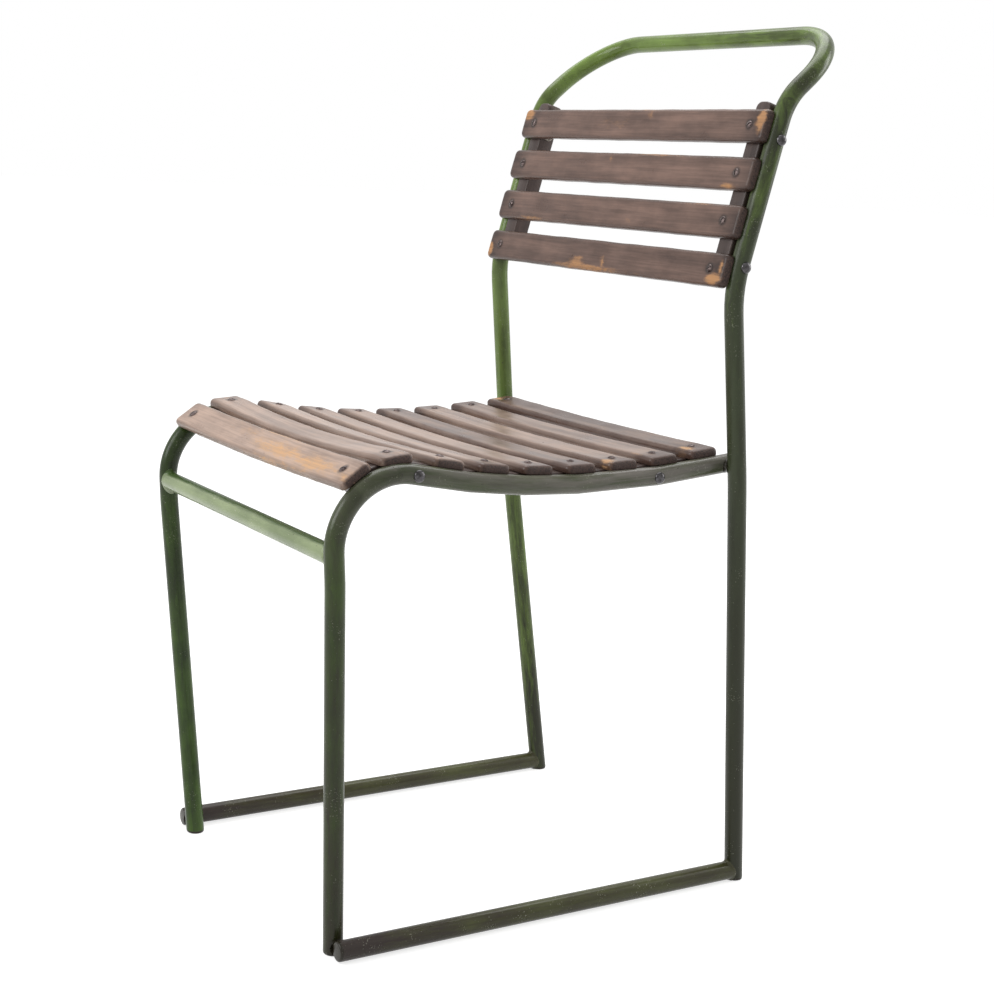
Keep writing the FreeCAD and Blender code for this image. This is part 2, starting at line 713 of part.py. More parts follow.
def make_washer():
    hole = size("bolt_diameter") / 2 + size("fit_gap")
    rim = size("washer_diameter") / 2
    top = size("washer_thickness")
    return revolve("bolt_washer", [(hole, 0), (rim, 0), (rim, top), (hole, top)])


def make_nut():
    """A hexagon nut, its bore clear of the bolt."""
    body = new_body("bolt_nut")
    outline = new_sketch(body, "XY_Plane", "bolt_nut_outline")
    radius = size("nut_across_flats") / math.sqrt(3)
    angles = [math.radians(60 * number) for number in range(6)]
    add_outline(outline, [(radius * math.cos(a), radius * math.sin(a)) for a in angles])
    add_circle(outline, "bolt_diameter / 2 + fit_gap / 2")
    pad = body.newObject("PartDesign::Pad", "bolt_nut_height")
    pad.Profile = outline
    bind(pad, "Length", "nut_thickness")
    doc.recompute()
    return body


def make_butt_weld(label, joint, away, post, cores):
    """A fillet of weld metal round the end of a bar, thickest in its crotches with the post it meets."""
    bar = (away - joint).normalize()
    cone = doc.addObject("Part::Cone", label + "_cone")
    bind(cone, "Radius1", "tube_diameter / 2 + weld_reach")
    bind(cone, "Radius2", "tube_diameter / 2 + fit_gap")
    bind(cone, "Height", "weld_length")
    start = joint + bar * (tube_radius - size("weld_reach") / 2)
    cone.Placement = Placement(start, Rotation(Z_AXIS, bar))
    reach = bar * (2 * size("tube_diameter"))
    rod = straight_core(label + "_bar", joint - reach, joint + reach, "tube_diameter / 2 + fit_gap")
    rise = post * (2 * size("tube_diameter"))
    sleeve = straight_core(label + "_sleeve", joint - rise, joint + rise, "tube_diameter / 2 + weld_reach")
    near_post = doc.addObject("Part::Common", label + "_near_post")
    near_post.Base = cone
    near_post.Tool = sleeve
    floor = doc.addObject("Part::Box", label + "_floor")
    span = size("upright_spacing")
    floor.Length = 2 * span
    floor.Width = 2 * span
    floor.Height = span
    corner = Vector(joint.x - span, joint.y - span, size("runner_clearance") - span)
    floor.Placement = Placement(corner, Rotation())
    return largest_solid(label, cut_to(label + "_cut", near_post, [rod, floor] + cores))


def make_cross_weld(label, start, end, cores):
    """A neck of weld metal between two tubes that cross side by side."""
    neck = straight_core(label + "_neck", start, end, "weld_neck")
    return largest_solid(label, cut_to(label + "_cut", neck, cores))


def make_chair():
    nodes = []
    hoop, hoop_core = make_rear_hoop()
    nodes.append(hoop)
    runner_height = tube_radius + size("runner_clearance")
    crossbar_height = size("crossbar_height")
    crossbar_depth = leg_depth(crossbar_height)
    leg_cores, rail_plugs, foot_plugs, runner_plugs = {}, [], [], []
    rail_welds, runner_welds, front_welds, crossbar_welds = [], [], [], []
    plug = make_plug("end_plug")
    front_half = size("front_foot_spacing") / 2
    set_height = crossbar_height - size("leg_set_drop")
    front_spread = (rail_half - front_half) / set_height
    for side, sign in SIDES:
        leg, leg_core, tail, tail_angle = make_front_leg(side, sign)
        leg_cores[side] = leg_core
        nodes.append(leg)
        outward = turn_about_x(tail_angle).multVec(Y_AXIS)
        rail_plugs.append(place_copy(plug, side + "_rail_plug", Placement(
            tail + outward * size("plug_flange"), Rotation(Z_AXIS, -outward))))

        # The runner lies against the outside of the front foot and butts the front of the rear leg
        front_axis = front_half + front_spread * runner_height
        start = Vector(
            sign * (front_axis + 2 * tube_radius + 2 * size("fit_gap")),
            -size("runner_front_lap"),
            runner_height,
        )
        end = Vector(sign * rear_leg_half(runner_height), rear_leg_depth(runner_height), runner_height)
        along = (end - start).normalize()
        bar = straight_tube(side + "_floor_runner_bar", start, end)
        nodes.append(cut_to(side + "_floor_runner", bar, [hoop_core]))
        runner_plugs.append(place_copy(plug, side + "_runner_plug", Placement(
            start - along * size("plug_flange"), Rotation(Z_AXIS, along))))
        post = Vector(end.x - sign * rear_leg_half(0), end.y - rear_leg_depth(0), end.z).normalize()
        runner_welds.append(make_butt_weld(side + "_runner_weld", end, start, post, [hoop_core]))
        tip = start - along * size("tube_diameter")
        runner_core = straight_core(side + "_runner_core", tip, end, "tube_diameter / 2 + fit_gap")
        neck_start = Vector(sign * front_half, leg_depth(runner_height), runner_height)
        neck_end = neck_start + X_AXIS * (sign * 2 * tube_radius)
        neck_cores = [runner_core, leg_core]
        front_welds.append(make_cross_weld(side + "_front_weld", neck_start, neck_end, neck_cores))

        # The rail's end laps the inside of the rear leg
        leg_spot = Vector(sign * upright_half, rear_leg_depth(tail.z), tail.z)
        rail_spot = rail_point(leg_spot.y) + X_AXIS * (sign * rail_half)
        leg_spot.z = rail_spot.z
        rail_welds.append(make_cross_weld(side + "_rail_weld", rail_spot, leg_spot, [hoop_core, leg_core]))

        flange = size("plug_flange")
        front_spot = Vector(sign * (front_half + front_spread * flange), leg_depth(flange), 0)
        rear_spot = Vector(sign * rear_leg_half(flange), rear_leg_depth(flange), 0)
        for name, spot in (("_front_plug", front_spot), ("_rear_plug", rear_spot)):
            foot_plugs.append(place_copy(plug, side + name, Placement(spot, Rotation())))

    ends = [Vector(sign * rail_half, crossbar_depth, crossbar_height) for side, sign in SIDES]
    bar = straight_tube("front_crossbar_bar", ends[0], ends[1])
    cores = [leg_cores["left"], leg_cores["right"]]
    nodes.append(cut_to("front_crossbar", bar, cores))
    post = Vector(0, -math.sin(leg_lean), math.cos(leg_lean))
    crossbar_welds.append(make_butt_weld("left_crossbar_weld", ends[0], ends[1], post, cores[:1]))
    crossbar_welds.append(make_butt_weld("right_crossbar_weld", ends[1], ends[0], post, cores[1:]))

    nodes.append(make_group("leg_end_plugs", foot_plugs))
    nodes.append(make_group("runner_end_plugs", runner_plugs))
    nodes.append(make_group("rail_end_plugs", rail_plugs))
    nodes.append(make_group("crossbar_welds", crossbar_welds))
    nodes.append(make_group("runner_rear_welds", runner_welds))
    nodes.append(make_group("runner_front_welds", front_welds))
    nodes.append(make_group("seat_rail_welds", rail_welds))

    for side, sign in SIDES:
        nodes.append(make_seat_batten(side, sign))
        nodes.append(make_back_batten(side, sign))
    for number, (place, tilt) in enumerate(seat_slat_places(), start=1):
        spot = Placement(place, turn_about_x(tilt))
        nodes.append(make_slat("seat_slat_%d" % number, "seat_slat_length", screw_line["seat"], spot))
    for number, (place, tilt) in enumerate(back_slat_places(), start=1):
        spot = Placement(place, turn_about_x(tilt))
        nodes.append(make_slat("back_slat_%d" % number, "back_slat_length", screw_line["back"], spot))

    screw_names = ("screw_head_diameter", "screw_head_height", "screw_diameter", "screw_length")
    bolt_names = ("bolt_head_diameter", "bolt_head_height", "bolt_diameter")
    screw = round_top("slat_screw", *[size(name) for name in screw_names])
    bolt_sizes = [size(name) for name in bolt_names]
    bolts = {name: round_top(name + "_bolt", *bolt_sizes, bolt_length(name)) for name in ("seat", "back")}
    nodes += make_fasteners(screw, bolts, make_washer(), make_nut())
    return nodes


def check_document():
    """Stop at any failed object, so that nothing broken is written."""
    for item in doc.Objects:
        if "Invalid" in item.State or "Error" in item.State:
            raise RuntimeError("%s failed: %s" % (item.Label, item.State))


def write_nodes(nodes):
    """Centre the chair on the origin and write each node's shape."""
    os.makedirs("parts", exist_ok=True)
    box = FreeCAD.BoundBox()
    for node in nodes:
        box.add(node.Shape.optimalBoundingBox(False))
    shift = Vector(0, -(box.YMin + box.YMax) / 2, 0)
    for node in nodes:
        node.Placement = Placement(shift, Rotation()).multiply(node.Placement)
    doc.recompute()
    check_document()
    for node in nodes:
        shape = node.Shape
        if shape.isNull() or not shape.isValid() or not shape.Solids:
            raise RuntimeError("%s has no valid solid" % node.Label)
        shape.exportStep(os.path.join("parts", node.Label + ".step"))
        print("%-24s solids %2d volume %10.1f" % (node.Label, len(shape.Solids), shape.Volume))
    print("front feet at depth %.2f, size %.1f x %.1f x %.1f" % (
        shift.y, box.XLength, box.YLength, box.ZLength))


write_nodes(make_chair())
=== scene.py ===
import bpy
import math
from mathutils import Matrix, Vector, kdtree


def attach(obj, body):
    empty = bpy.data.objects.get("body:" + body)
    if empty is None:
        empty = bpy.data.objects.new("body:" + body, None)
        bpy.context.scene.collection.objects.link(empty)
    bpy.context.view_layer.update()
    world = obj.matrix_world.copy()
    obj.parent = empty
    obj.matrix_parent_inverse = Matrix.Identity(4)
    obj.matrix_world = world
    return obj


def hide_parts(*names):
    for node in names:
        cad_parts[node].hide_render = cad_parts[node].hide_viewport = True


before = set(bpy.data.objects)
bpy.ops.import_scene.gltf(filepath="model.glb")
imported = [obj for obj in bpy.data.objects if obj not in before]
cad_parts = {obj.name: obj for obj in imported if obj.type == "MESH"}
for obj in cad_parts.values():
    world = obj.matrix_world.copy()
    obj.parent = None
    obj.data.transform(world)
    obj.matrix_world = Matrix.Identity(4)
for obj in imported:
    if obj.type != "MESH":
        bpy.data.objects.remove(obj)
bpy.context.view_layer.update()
bpy.ops.object.select_all(action="DESELECT")


# ---------------------------------------------------------------------------------------------
# The stand and the light. The chair stands on a plain pale sweep, seen from its left front, a
# little above the seat. Large soft boxes light it from both sides and from above.

turned, tipped, rolled = math.radians(58.13), math.radians(6.769), math.radians(2.8295)
standpoint = (1.55329, -0.97661, 0.72965)
ahead = Vector((
    -math.sin(turned) * math.cos(tipped), math.cos(turned) * math.cos(tipped), -math.sin(tipped)))
level = Vector((math.cos(turned), math.sin(turned), 0))
above = level.cross(ahead)
across = level * math.cos(rolled) + above * math.sin(rolled)
upward = above * math.cos(rolled) - level * math.sin(rolled)
aim = Matrix((across, upward, -ahead)).transposed().to_4x4()
camera_data = bpy.data.cameras.new("camera")
camera_data.lens = 63.94
camera_data.sensor_width = 36.0
camera_data.shift_x = 0.0181
camera_data.shift_y = -0.12
camera_data.clip_end = 60.0
camera = bpy.data.objects.new("camera", camera_data)
camera.matrix_world = Matrix.Translation(standpoint) @ aim
bpy.context.scene.collection.objects.link(camera)
bpy.context.scene.camera = camera
bpy.context.scene.view_settings.view_transform = "Standard"


def soft_box(name, place, aim, width, height, power):
    """A lamp behind a sheet of diffusing cloth."""
    data = bpy.data.lights.new(name, "AREA")
    data.shape = "RECTANGLE"
    data.size = width
    data.size_y = height
    data.energy = power
    lamp = bpy.data.objects.new(name, data)
    lamp.location = place
    lamp.rotation_euler = (Vector(aim) - Vector(place)).to_track_quat("-Z", "Y").to_euler()
    bpy.context.scene.collection.objects.link(lamp)


soft_box("left_box", (-0.6, -2.6, 1.7), (0, 0, 0.5), 1.6, 1.6, 42)
soft_box("right_box", (0.9, 2.6, 1.5), (0, 0, 0.5), 1.0, 2.0, 34)
soft_box("top_box", (-0.9, 0.6, 3.0), (0, 0, 0.4), 2.4, 2.0, 52)


def put(tree, kind, inputs=(), **settings):
    """Place a shader node. Its inputs, by name or in order, are set to values or joined to
    sockets. With no kind it is a group's output."""
    made = tree.nodes.new("ShaderNode" + kind if kind else "NodeGroupOutput")
    for name, value in settings.items():
        setattr(made, name, value)
    pairs = inputs.items() if isinstance(inputs, dict) else enumerate(inputs)
    for key, value in pairs:
        if isinstance(value, bpy.types.NodeSocket):
            tree.links.new(value, made.inputs[key])
        elif value is not None:
            made.inputs[key].default_value = value
    return made


def maths(tree, operation, *values):
    """One sum on values or sockets."""
    return put(tree, "Math", values, operation=operation).outputs[0]


def seen_rays(tree):
    """1 for what the camera sees, itself or in a reflection, and 0 for light."""
    path = put(tree, "LightPath").outputs
    return maths(tree, "MAXIMUM", path["Is Camera Ray"], path["Is Glossy Ray"])


def new_material(name):
    """A bare material and its node tree."""
    material = bpy.data.materials.new(name)
    material.use_nodes = True
    material.node_tree.nodes.clear()
    return material, material.node_tree


world = bpy.data.worlds.new("pale_room")
world.use_nodes = True
bpy.context.scene.world = world
tree = world.node_tree
tree.nodes.clear()
dim = put(tree, "Background", {"Color": (1, 1, 1, 1), "Strength": 0.50})
white = put(tree, "Background", {"Color": (1, 1, 1, 1), "Strength": 1.0})
shown = put(tree, "MixShader", [seen_rays(tree), dim.outputs[0], white.outputs[0]])
put(tree, "OutputWorld", {"Surface": shown.outputs[0]})

bpy.ops.mesh.primitive_grid_add(x_subdivisions=2, y_subdivisions=2, size=80)
floor = bpy.context.active_object
floor.name = "floor"
sweep, tree = new_material("pale_sweep")
paper = put(tree, "BsdfDiffuse", {"Color": (0.62, 0.62, 0.62, 1)})
glow = put(tree, "Emission", {"Color": (1, 1, 1, 1), "Strength": 0.72})
shown = put(tree, "MixShader", [seen_rays(tree), None, glow.outputs[0]])
both = put(tree, "AddShader", [paper.outputs[0], shown.outputs[0]])
put(tree, "OutputMaterial", {"Surface": both.outputs[0]})
floor.data.materials.append(sweep)


# ---------------------------------------------------------------------------------------------
# The rear hoop. One length of 19 mm steel tube, bent cold into both rear legs, both uprights and
# the top rail, and brushed with green gloss paint that has darkened and worn through in places.

TUBE = 0.0095               # half the tube's width
FEET_TRIM = 0.003           # height at which a foot is sawn off for its plug
UNDER_FLOOR = -0.015        # where a leg starts, before it is sawn off
BEND_STEP = 4.0             # degrees of a bend from ring to ring
TRAIL_STEP = 0.004          # from mark to mark along the tube
BRUSH_LONG, BRUSH_ROUND = 9, 60
REAR_FOOT = Vector((0.1870, 0.21896, 0))
REAR_LEG_TOP = Vector((0.2155, 0.16396, 0.430))


def colour(red, green, blue):
    """A paint chip's colour, as mixed on a 0 to 255 card."""
    shares = (red / 255, green / 255, blue / 255)
    return tuple(c / 12.92 if c < 0.0412 else ((c + 0.055) / 1.055) ** 2.4 for c in shares) + (1.0,)


def plus(tree, first, second):
    return maths(tree, "ADD", first, second)


def minus(tree, first, second):
    return maths(tree, "SUBTRACT", first, second)


def times(tree, first, second):
    return maths(tree, "MULTIPLY", first, second)


def weighed(tree, value, weight, rest):
    """A share of one value on top of the rest."""
    return maths(tree, "MULTIPLY_ADD", value, weight, rest)


def ramp(tree, value, low, high, start=0.0, end=1.0):
    """Spread the part of a value between low and high over start to end."""
    return put(tree, "MapRange", [value, low, high, start, end]).outputs[0]


def mixed(tree, share, first, second):
    """Lay a share of the second colour over the first."""
    return put(tree, "Mix", {0: share, 6: first, 7: second}, data_type="RGBA").outputs[2]


def noise(tree, place, scale, detail, roughness=0.55, number=None):
    """Cloudy variation, which a number makes different from board to board."""
    inputs = {"Vector": place, "Scale": scale, "Detail": detail, "Roughness": roughness}
    made = put(tree, "TexNoise", inputs)
    if number is not None:
        made.noise_dimensions = "4D"
        tree.links.new(number, made.inputs["W"])
    return made.outputs["Fac"]


def new_group(name, **inputs):
    """A shader node group that gives colour, roughness and height, and its inputs' sockets."""
    tree = bpy.data.node_groups.new(name, "ShaderNodeTree")
    for label, kind in inputs.items():
        tree.interface.new_socket(label, in_out="INPUT", socket_type="NodeSocket" + kind)
    for label, kind in (("Colour", "Color"), ("Roughness", "Float"), ("Height", "Float")):
        tree.interface.new_socket(label, in_out="OUTPUT", socket_type="NodeSocket" + kind)
    return tree, tree.nodes.new("NodeGroupInput").outputs


def surfaced(tree, base, roughness, height, relief, strength, more):
    """Finish a material: its colour, its roughness, and its relief in metres."""
    bump = put(tree, "Bump", {"Height": height, "Distance": relief, "Strength": strength})
    shader = put(tree, "BsdfPrincipled", {
        "Base Color": base, "Roughness": roughness, "Normal": bump.outputs[0], **more})
    put(tree, "OutputMaterial", {"Surface": shader.outputs[0]})


paint_group, inside = new_group(
    "worn_paint", Place="Vector", Run="Vector", Fresh="Color", Shade="Color", Grime="Color",
    GrimeShare="Float", Film="Color", FilmShare="Float", SpeckShare="Float")
tree, place, run = paint_group, inside["Place"], inside["Run"]
clouds = ramp(tree, noise(tree, place, 17.0, 4.0), 0.36, 0.64)
brushed = ramp(tree, noise(tree, run, 1.0, 5.0, 0.65), 0.40, 0.62)
worn = weighed(tree, brushed, 0.45, times(tree, clouds, 0.55))
coat = mixed(tree, worn, inside["Shade"], inside["Fresh"])
# This mask lays on the darker colour: dirt on most tubes, and painted shade along the crossbar's
# top and on the hoop's near side.
soot = minus(tree, noise(tree, run, 2.3, 6.0, 0.7), 0.5)
grime_and_shade = ramp(tree, plus(tree, soot, inside["GrimeShare"]), 0.30, 0.72)
coat = mixed(tree, grime_and_shade, coat, inside["Grime"])
# This mask lays on the paler colour: dusty, bleached paint on the hoop and the near leg, and a
# painted reflection along the crossbar's lower edge.
film_and_reflection = ramp(tree, noise(tree, run, 1.7, 4.0, 0.6), 0.34, 0.60, 0.35, 1.0)
coat = mixed(tree, times(tree, film_and_reflection, inside["FilmShare"]), coat, inside["Film"])
chips = ramp(tree, noise(tree, place, 330.0, 2.0, 0.6), 0.72, 0.76)
coat = mixed(tree, chips, coat, colour(46, 38, 32))
dots = noise(tree, place, 620.0, 1.0, 0.5)
clusters = ramp(tree, noise(tree, place, 42.0, 2.0), 0.50, 0.66)
specks = ramp(tree, weighed(tree, clusters, 0.12, dots), 0.74, 0.80)
specks = times(tree, specks, inside["SpeckShare"])
coat = mixed(tree, specks, coat, colour(188, 188, 170))
rough = weighed(tree, grime_and_shade, 0.14, weighed(tree, brushed, 0.08, 0.15))
rough = plus(tree, rough, weighed(tree, chips, 0.25, times(tree, specks, 0.25)))
ripple = noise(tree, place, 95.0, 3.0, 0.6)
height = minus(tree, times(tree, ripple, 0.5), times(tree, chips, 0.6))
put(tree, "", {"Colour": coat, "Roughness": rough, "Height": height})


def paint(name, fresh, shade, grime_and_shade, soiled_and_shaded, specks, film_and_reflection=((0, 0, 1), 0, 1, 0, 0),
          dust_and_reflection=(120, 118, 110)):
    """Worn gloss paint for one length of tube. A darker colour (dirt, and painted shade on the
    crossbar and the hoop's near side) and a paler coat (dusty or bleached paint, and a painted
    reflection on the crossbar) each have a direction, two distances along it, and the share at
    each."""
    material, tree = new_material(name)
    place = put(tree, "TexCoord").outputs["Object"]
    made = put(tree, "Group", {
        "Place": place, "Run": put(tree, "Attribute", attribute_name="run").outputs["Vector"],
        "Fresh": colour(*fresh), "Shade": colour(*shade), "Grime": colour(*grime_and_shade),
        "Film": colour(*dust_and_reflection), "SpeckShare": specks}, node_tree=paint_group)
    for key, (towards, low, high, start, end) in (("GrimeShare", soiled_and_shaded), ("FilmShare", film_and_reflection)):
        reach = put(tree, "VectorMath", [place, towards], operation="DOT_PRODUCT")
        share = ramp(tree, reach.outputs["Value"], low, high, start, end)
        tree.links.new(share, made.inputs[key])
    surfaced(
        tree, made.outputs["Colour"], made.outputs["Roughness"], made.outputs["Height"],
        0.00025, 0.7, {"Specular IOR Level": 0.25})
    return material


def corner(before, point, after, radius):
    """Where a bend starts, and the centre, axis and angle that the tube is turned through."""
    into = (point - before).normalized()
    out = (after - point).normalized()
    turn = into.angle(out)
    start = point - into * radius * math.tan(turn / 2)
    centre = point + (out - into).normalized() * (radius / math.cos(turn / 2))
    return start, centre, into.cross(out).normalized(), turn


def through(points, radii):
    """The moves of a path of straight runs with a bend at each inner point."""
    moves = []
    for before, point, after, radius in zip(points, points[1:], points[2:], radii):
        start, centre, axis, angle = corner(before, point, after, radius)
        moves += [start, (centre, axis, angle)]
    return moves + [points[-1]]


def draw_out(piece, start, moves):
    """Draw the piece's ring along a path. Each move is a straight run to a point, or a bend
    (centre, axis, angle). The ends are closed. The points that it passed through come back."""
    bpy.ops.object.transform_apply(location=True, rotation=True, scale=True)
    bpy.ops.object.mode_set(mode="EDIT")
    bpy.ops.mesh.select_all(action="SELECT")
    here = start.copy()
    trail = [here]
    for move in moves:
        if isinstance(move, Vector):
            bpy.ops.mesh.extrude_region_move(TRANSFORM_OT_translate={"value": move - here})
            paces = max(1, round((move - here).length / TRAIL_STEP))
            trail += [here.lerp(move, n / paces) for n in range(1, paces + 1)]
        else:
            centre, axis, angle = move
            steps = max(2, round(math.degrees(abs(angle)) / BEND_STEP))
            bpy.ops.mesh.spin(steps=steps, angle=-angle, center=centre, axis=axis)
            paces = max(steps, round((here - centre).length * abs(angle) / TRAIL_STEP))
            for n in range(1, paces + 1):
                swung = Matrix.Rotation(angle * n / paces, 3, axis) @ (here - centre)
                trail.append(centre + swung)
        here = trail[-1]
    bpy.ops.mesh.select_all(action="SELECT")
    bpy.ops.mesh.remove_doubles(threshold=0.00001)
    bpy.ops.mesh.fill_holes(sides=0)
    bpy.ops.mesh.normals_make_consistent(inside=False)
    bpy.ops.object.mode_set(mode="OBJECT")
    return trail


def bent_tube(name, start, heading, moves):
    """A ring of the tube's size, square to its heading, drawn along a path."""
    bpy.ops.object.select_all(action="DESELECT")
    bpy.ops.mesh.primitive_circle_add(
        vertices=40, radius=TUBE, location=start,
        rotation=heading.to_track_quat("Z", "X").to_euler())
    piece = bpy.context.active_object
    piece.name = name
    trail = draw_out(piece, start, moves)
    return piece, trail


def cut_flat(piece, point, normal):
    """Saw a piece square to a direction, keep the side that it points to, and close the cut."""
    bpy.context.view_layer.objects.active = piece
    piece.select_set(True)
    bpy.ops.object.mode_set(mode="EDIT")
    bpy.ops.mesh.select_all(action="SELECT")
    bpy.ops.mesh.bisect(plane_co=point, plane_no=normal, clear_inner=True, use_fill=True)
    bpy.ops.object.mode_set(mode="OBJECT")


def brush_along(piece, trail):
    """Mark how far along the tube, and where round it, each point lies, for the brush marks."""
    tree = kdtree.KDTree(len(trail))
    reach = [0.0]
    for n, point in enumerate(trail):
        tree.insert(point, n)
        if n:
            reach.append(reach[-1] + (point - trail[n - 1]).length)
    tree.balance()
    marks = []
    for vertex in piece.data.vertices:
        point, n, _ = tree.find(vertex.co)
        off = (vertex.co - point) * BRUSH_ROUND
        marks += [reach[n] * BRUSH_LONG, off.x + off.z, off.y + off.z]
    piece.data.attributes.new("run", "FLOAT_VECTOR", "POINT").data.foreach_set("vector", marks)


def finished(piece, material, nodes, sharp=35):
    """Smooth the piece, paint it, and let it ride in place of its CAD nodes."""
    bpy.ops.object.select_all(action="DESELECT")
    bpy.context.view_layer.objects.active = piece
    piece.select_set(True)
    bpy.ops.object.shade_smooth_by_angle(angle=math.radians(sharp))
    piece.data.materials.clear()
    piece.data.materials.append(material)
    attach(piece, "root")
    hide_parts(*nodes)
    piece.select_set(False)


def handed(point, hand):
    """A point or direction of the left side, on the left (1) or the right (-1)."""
    return Vector((point[0] * hand, point[1], point[2]))


hoop_side = [
    REAR_FOOT + (REAR_LEG_TOP - REAR_FOOT) * (UNDER_FLOOR / REAR_LEG_TOP.z),
    REAR_LEG_TOP,
    Vector((0.2155, 0.14256, 0.6235)),
    Vector((0.2155, 0.19350, 0.811)),
    Vector((0.2155, 0.27596, 0.882)),
]
hoop_radii = [0.400, 0.130, 0.070, 0.076]
hoop_points = hoop_side + [handed(point, -1) for point in reversed(hoop_side)]
hoop, trail = bent_tube(
    "rear_hoop_tube", hoop_points[0], hoop_points[1] - hoop_points[0],
    through(hoop_points, hoop_radii + hoop_radii[::-1]))
cut_flat(hoop, (0, 0, FEET_TRIM), (0, 0, 1))
brush_along(hoop, trail)
# The hoop's colour goes darker towards the bottom and towards the near side. On the near upright
# this darkening is painted shade.
hoop_paint = paint(
    "hoop_paint", (124, 150, 74), (76, 90, 42), (42, 44, 28), specks=0.25,
    soiled_and_shaded=((-1.6, 0, 1), 0.08, 0.95, 0.88, 0.24),
    film_and_reflection=((0, -1, 0), -0.20, -0.145, 0.0, 0.30), dust_and_reflection=(92, 106, 76))
finished(hoop, hoop_paint, ["rear_hoop"])


# ---------------------------------------------------------------------------------------------
# The front legs. Each is one tube: it rises from the floor, is set outwards under the crossbar,
# bends back over the front of the seat and runs on as the dished rail that carries the slats.

SIDES = (("left", 1), ("right", -1))
RAIL_X = 0.195
FRONT_FOOT = Vector((0.165, -0.24204, 0))
bend_centre = Vector((0, -0.208209, 0.390))
front_dish = Vector((0, -0.01704, 1.322193))
rear_dish = Vector((0, -0.01704, 1.8356))
leg_tilt = math.radians(4.6)
dish_starts = math.radians(11.5892)
rail_ends_at = math.radians(7.7703)

near_leg_paint = paint(
    "near_leg_paint", (60, 82, 20), (30, 42, 8), (38, 35, 20), specks=0.2,
    soiled_and_shaded=((0, 0, 1), 0.0, 0.36, 0.66, 0.36),
    film_and_reflection=((0, 1, 1), 0.08, 0.45, 0.05, 0.9), dust_and_reflection=(122, 117, 110))
far_leg_paint = paint(
    "far_leg_paint", (72, 100, 34), (32, 48, 12), (30, 38, 14), specks=0.15,
    soiled_and_shaded=((0, 0, 1), 0.02, 0.30, 0.15, 0.50))
for (side, hand), leg_paint in zip(SIDES, (near_leg_paint, far_leg_paint)):
    rail = Vector((RAIL_X * hand, 0, 0))
    foot = handed(FRONT_FOOT, hand)
    setting = rail + Vector((0, -0.270924, 0.359))
    below = foot + (foot - setting) * (-UNDER_FLOOR / setting.z)
    bend_start = rail + Vector((0, -0.272999, 0.384787))
    start, centre, axis, angle = corner(below, setting, bend_start, 0.150)
    leg, trail = bent_tube(side + "_front_leg_tube", below, setting - below, [
        start, (centre, axis, angle), bend_start,
        (bend_centre + rail, Vector((-1, 0, 0)), math.pi / 2 + leg_tilt + dish_starts),
        (front_dish + rail, Vector((1, 0, 0)), dish_starts),
        (rear_dish + rail, Vector((1, 0, 0)), rail_ends_at),
    ])
    cut_flat(leg, (0, 0, FEET_TRIM), (0, 0, 1))
    brush_along(leg, trail)
    finished(leg, leg_paint, [side + "_front_leg"])


# ---------------------------------------------------------------------------------------------
# The floor runners. Straight tubes just off the floor, one each side, laid against the outside
# of the front foot and butted to the rear leg. Scuffing has browned them, most of all in front.

RUNNER_FRONT = Vector((0.185277, -0.24604, 0.0105))
RUNNER_REAR = Vector((0.187696, 0.217617, 0.0105))
INTO_POST = TUBE * 0.6      # a butted tube stops this far from the post's middle line

runner_paint = paint(
    "runner_paint", (82, 86, 50), (60, 58, 36), (54, 46, 42), specks=0.28,
    soiled_and_shaded=((0, 1, 0), -0.24, -0.05, 0.75, 0.38))
for side, hand in SIDES:
    front = handed(RUNNER_FRONT, hand)
    rear = handed(RUNNER_REAR - Vector((0, INTO_POST, 0)), hand)
    runner, trail = bent_tube(side + "_runner_tube", front, rear - front, [rear])
    brush_along(runner, trail)
    finished(runner, runner_paint, [side + "_floor_runner"])


# ---------------------------------------------------------------------------------------------
# The front crossbar. A straight tube between the front legs, its paint coloured a pale grey green
# as painted light on its lit front, with painted shade along the top and a painted reflection
# below.

CROSSBAR_END = Vector((RAIL_X, -0.272936, 0.384))

# A paler copy of the tubes' paint stands in for the light on the bar's front. The dark colour along
# the top is painted shade, and the pale grey along the lower edge is a painted reflection.
crossbar_lit_paint = paint(
    "crossbar_lit_paint_finish", (154, 168, 126), (118, 132, 96), (66, 88, 44), specks=0.6,
    soiled_and_shaded=((0, 0, 1), 0.3901, 0.3932, 0.14, 0.86),
    film_and_reflection=((0, 0, 1), 0.3790, 0.3752, 0.0, 0.6), dust_and_reflection=(176, 180, 168))
right_end, left_end = (handed(CROSSBAR_END - Vector((INTO_POST, 0, 0)), hand) for hand in (-1, 1))
crossbar, trail = bent_tube("front_crossbar_tube", right_end, Vector((1, 0, 0)), [left_end])
brush_along(crossbar, trail)
finished(crossbar, crossbar_lit_paint, ["front_crossbar"])


# ---------------------------------------------------------------------------------------------
# The end plugs. A turned plug closes each foot, each runner's front end and each rail's rear end.
# Its rim is rounded over, and it is painted with the tube.

LEG_LEAN = Vector((0.0836, -0.0805, 1.0))      # the front legs' slope
REAR_LEAN = Vector((0.0663, -0.1279, 1.0))     # the rear legs' slope
RAIL_TAIL = Vector((RAIL_X, 0.17224, 0.448455))
TAIL_RISE = math.radians(7.77)
PLUG_RIM = 0.0022


def pick(piece, test):
    """Select the edges whose two ends pass a test, ready for the next tool."""
    bpy.context.tool_settings.mesh_select_mode = (False, True, False)
    mesh = piece.data
    for part in (mesh.vertices, mesh.edges, mesh.polygons):
        part.foreach_set("select", [False] * len(part))
    for edge in mesh.edges:
        first, second = (mesh.vertices[n].co for n in edge.vertices)
        edge.select = test(first, second)
    bpy.ops.object.mode_set(mode="EDIT")


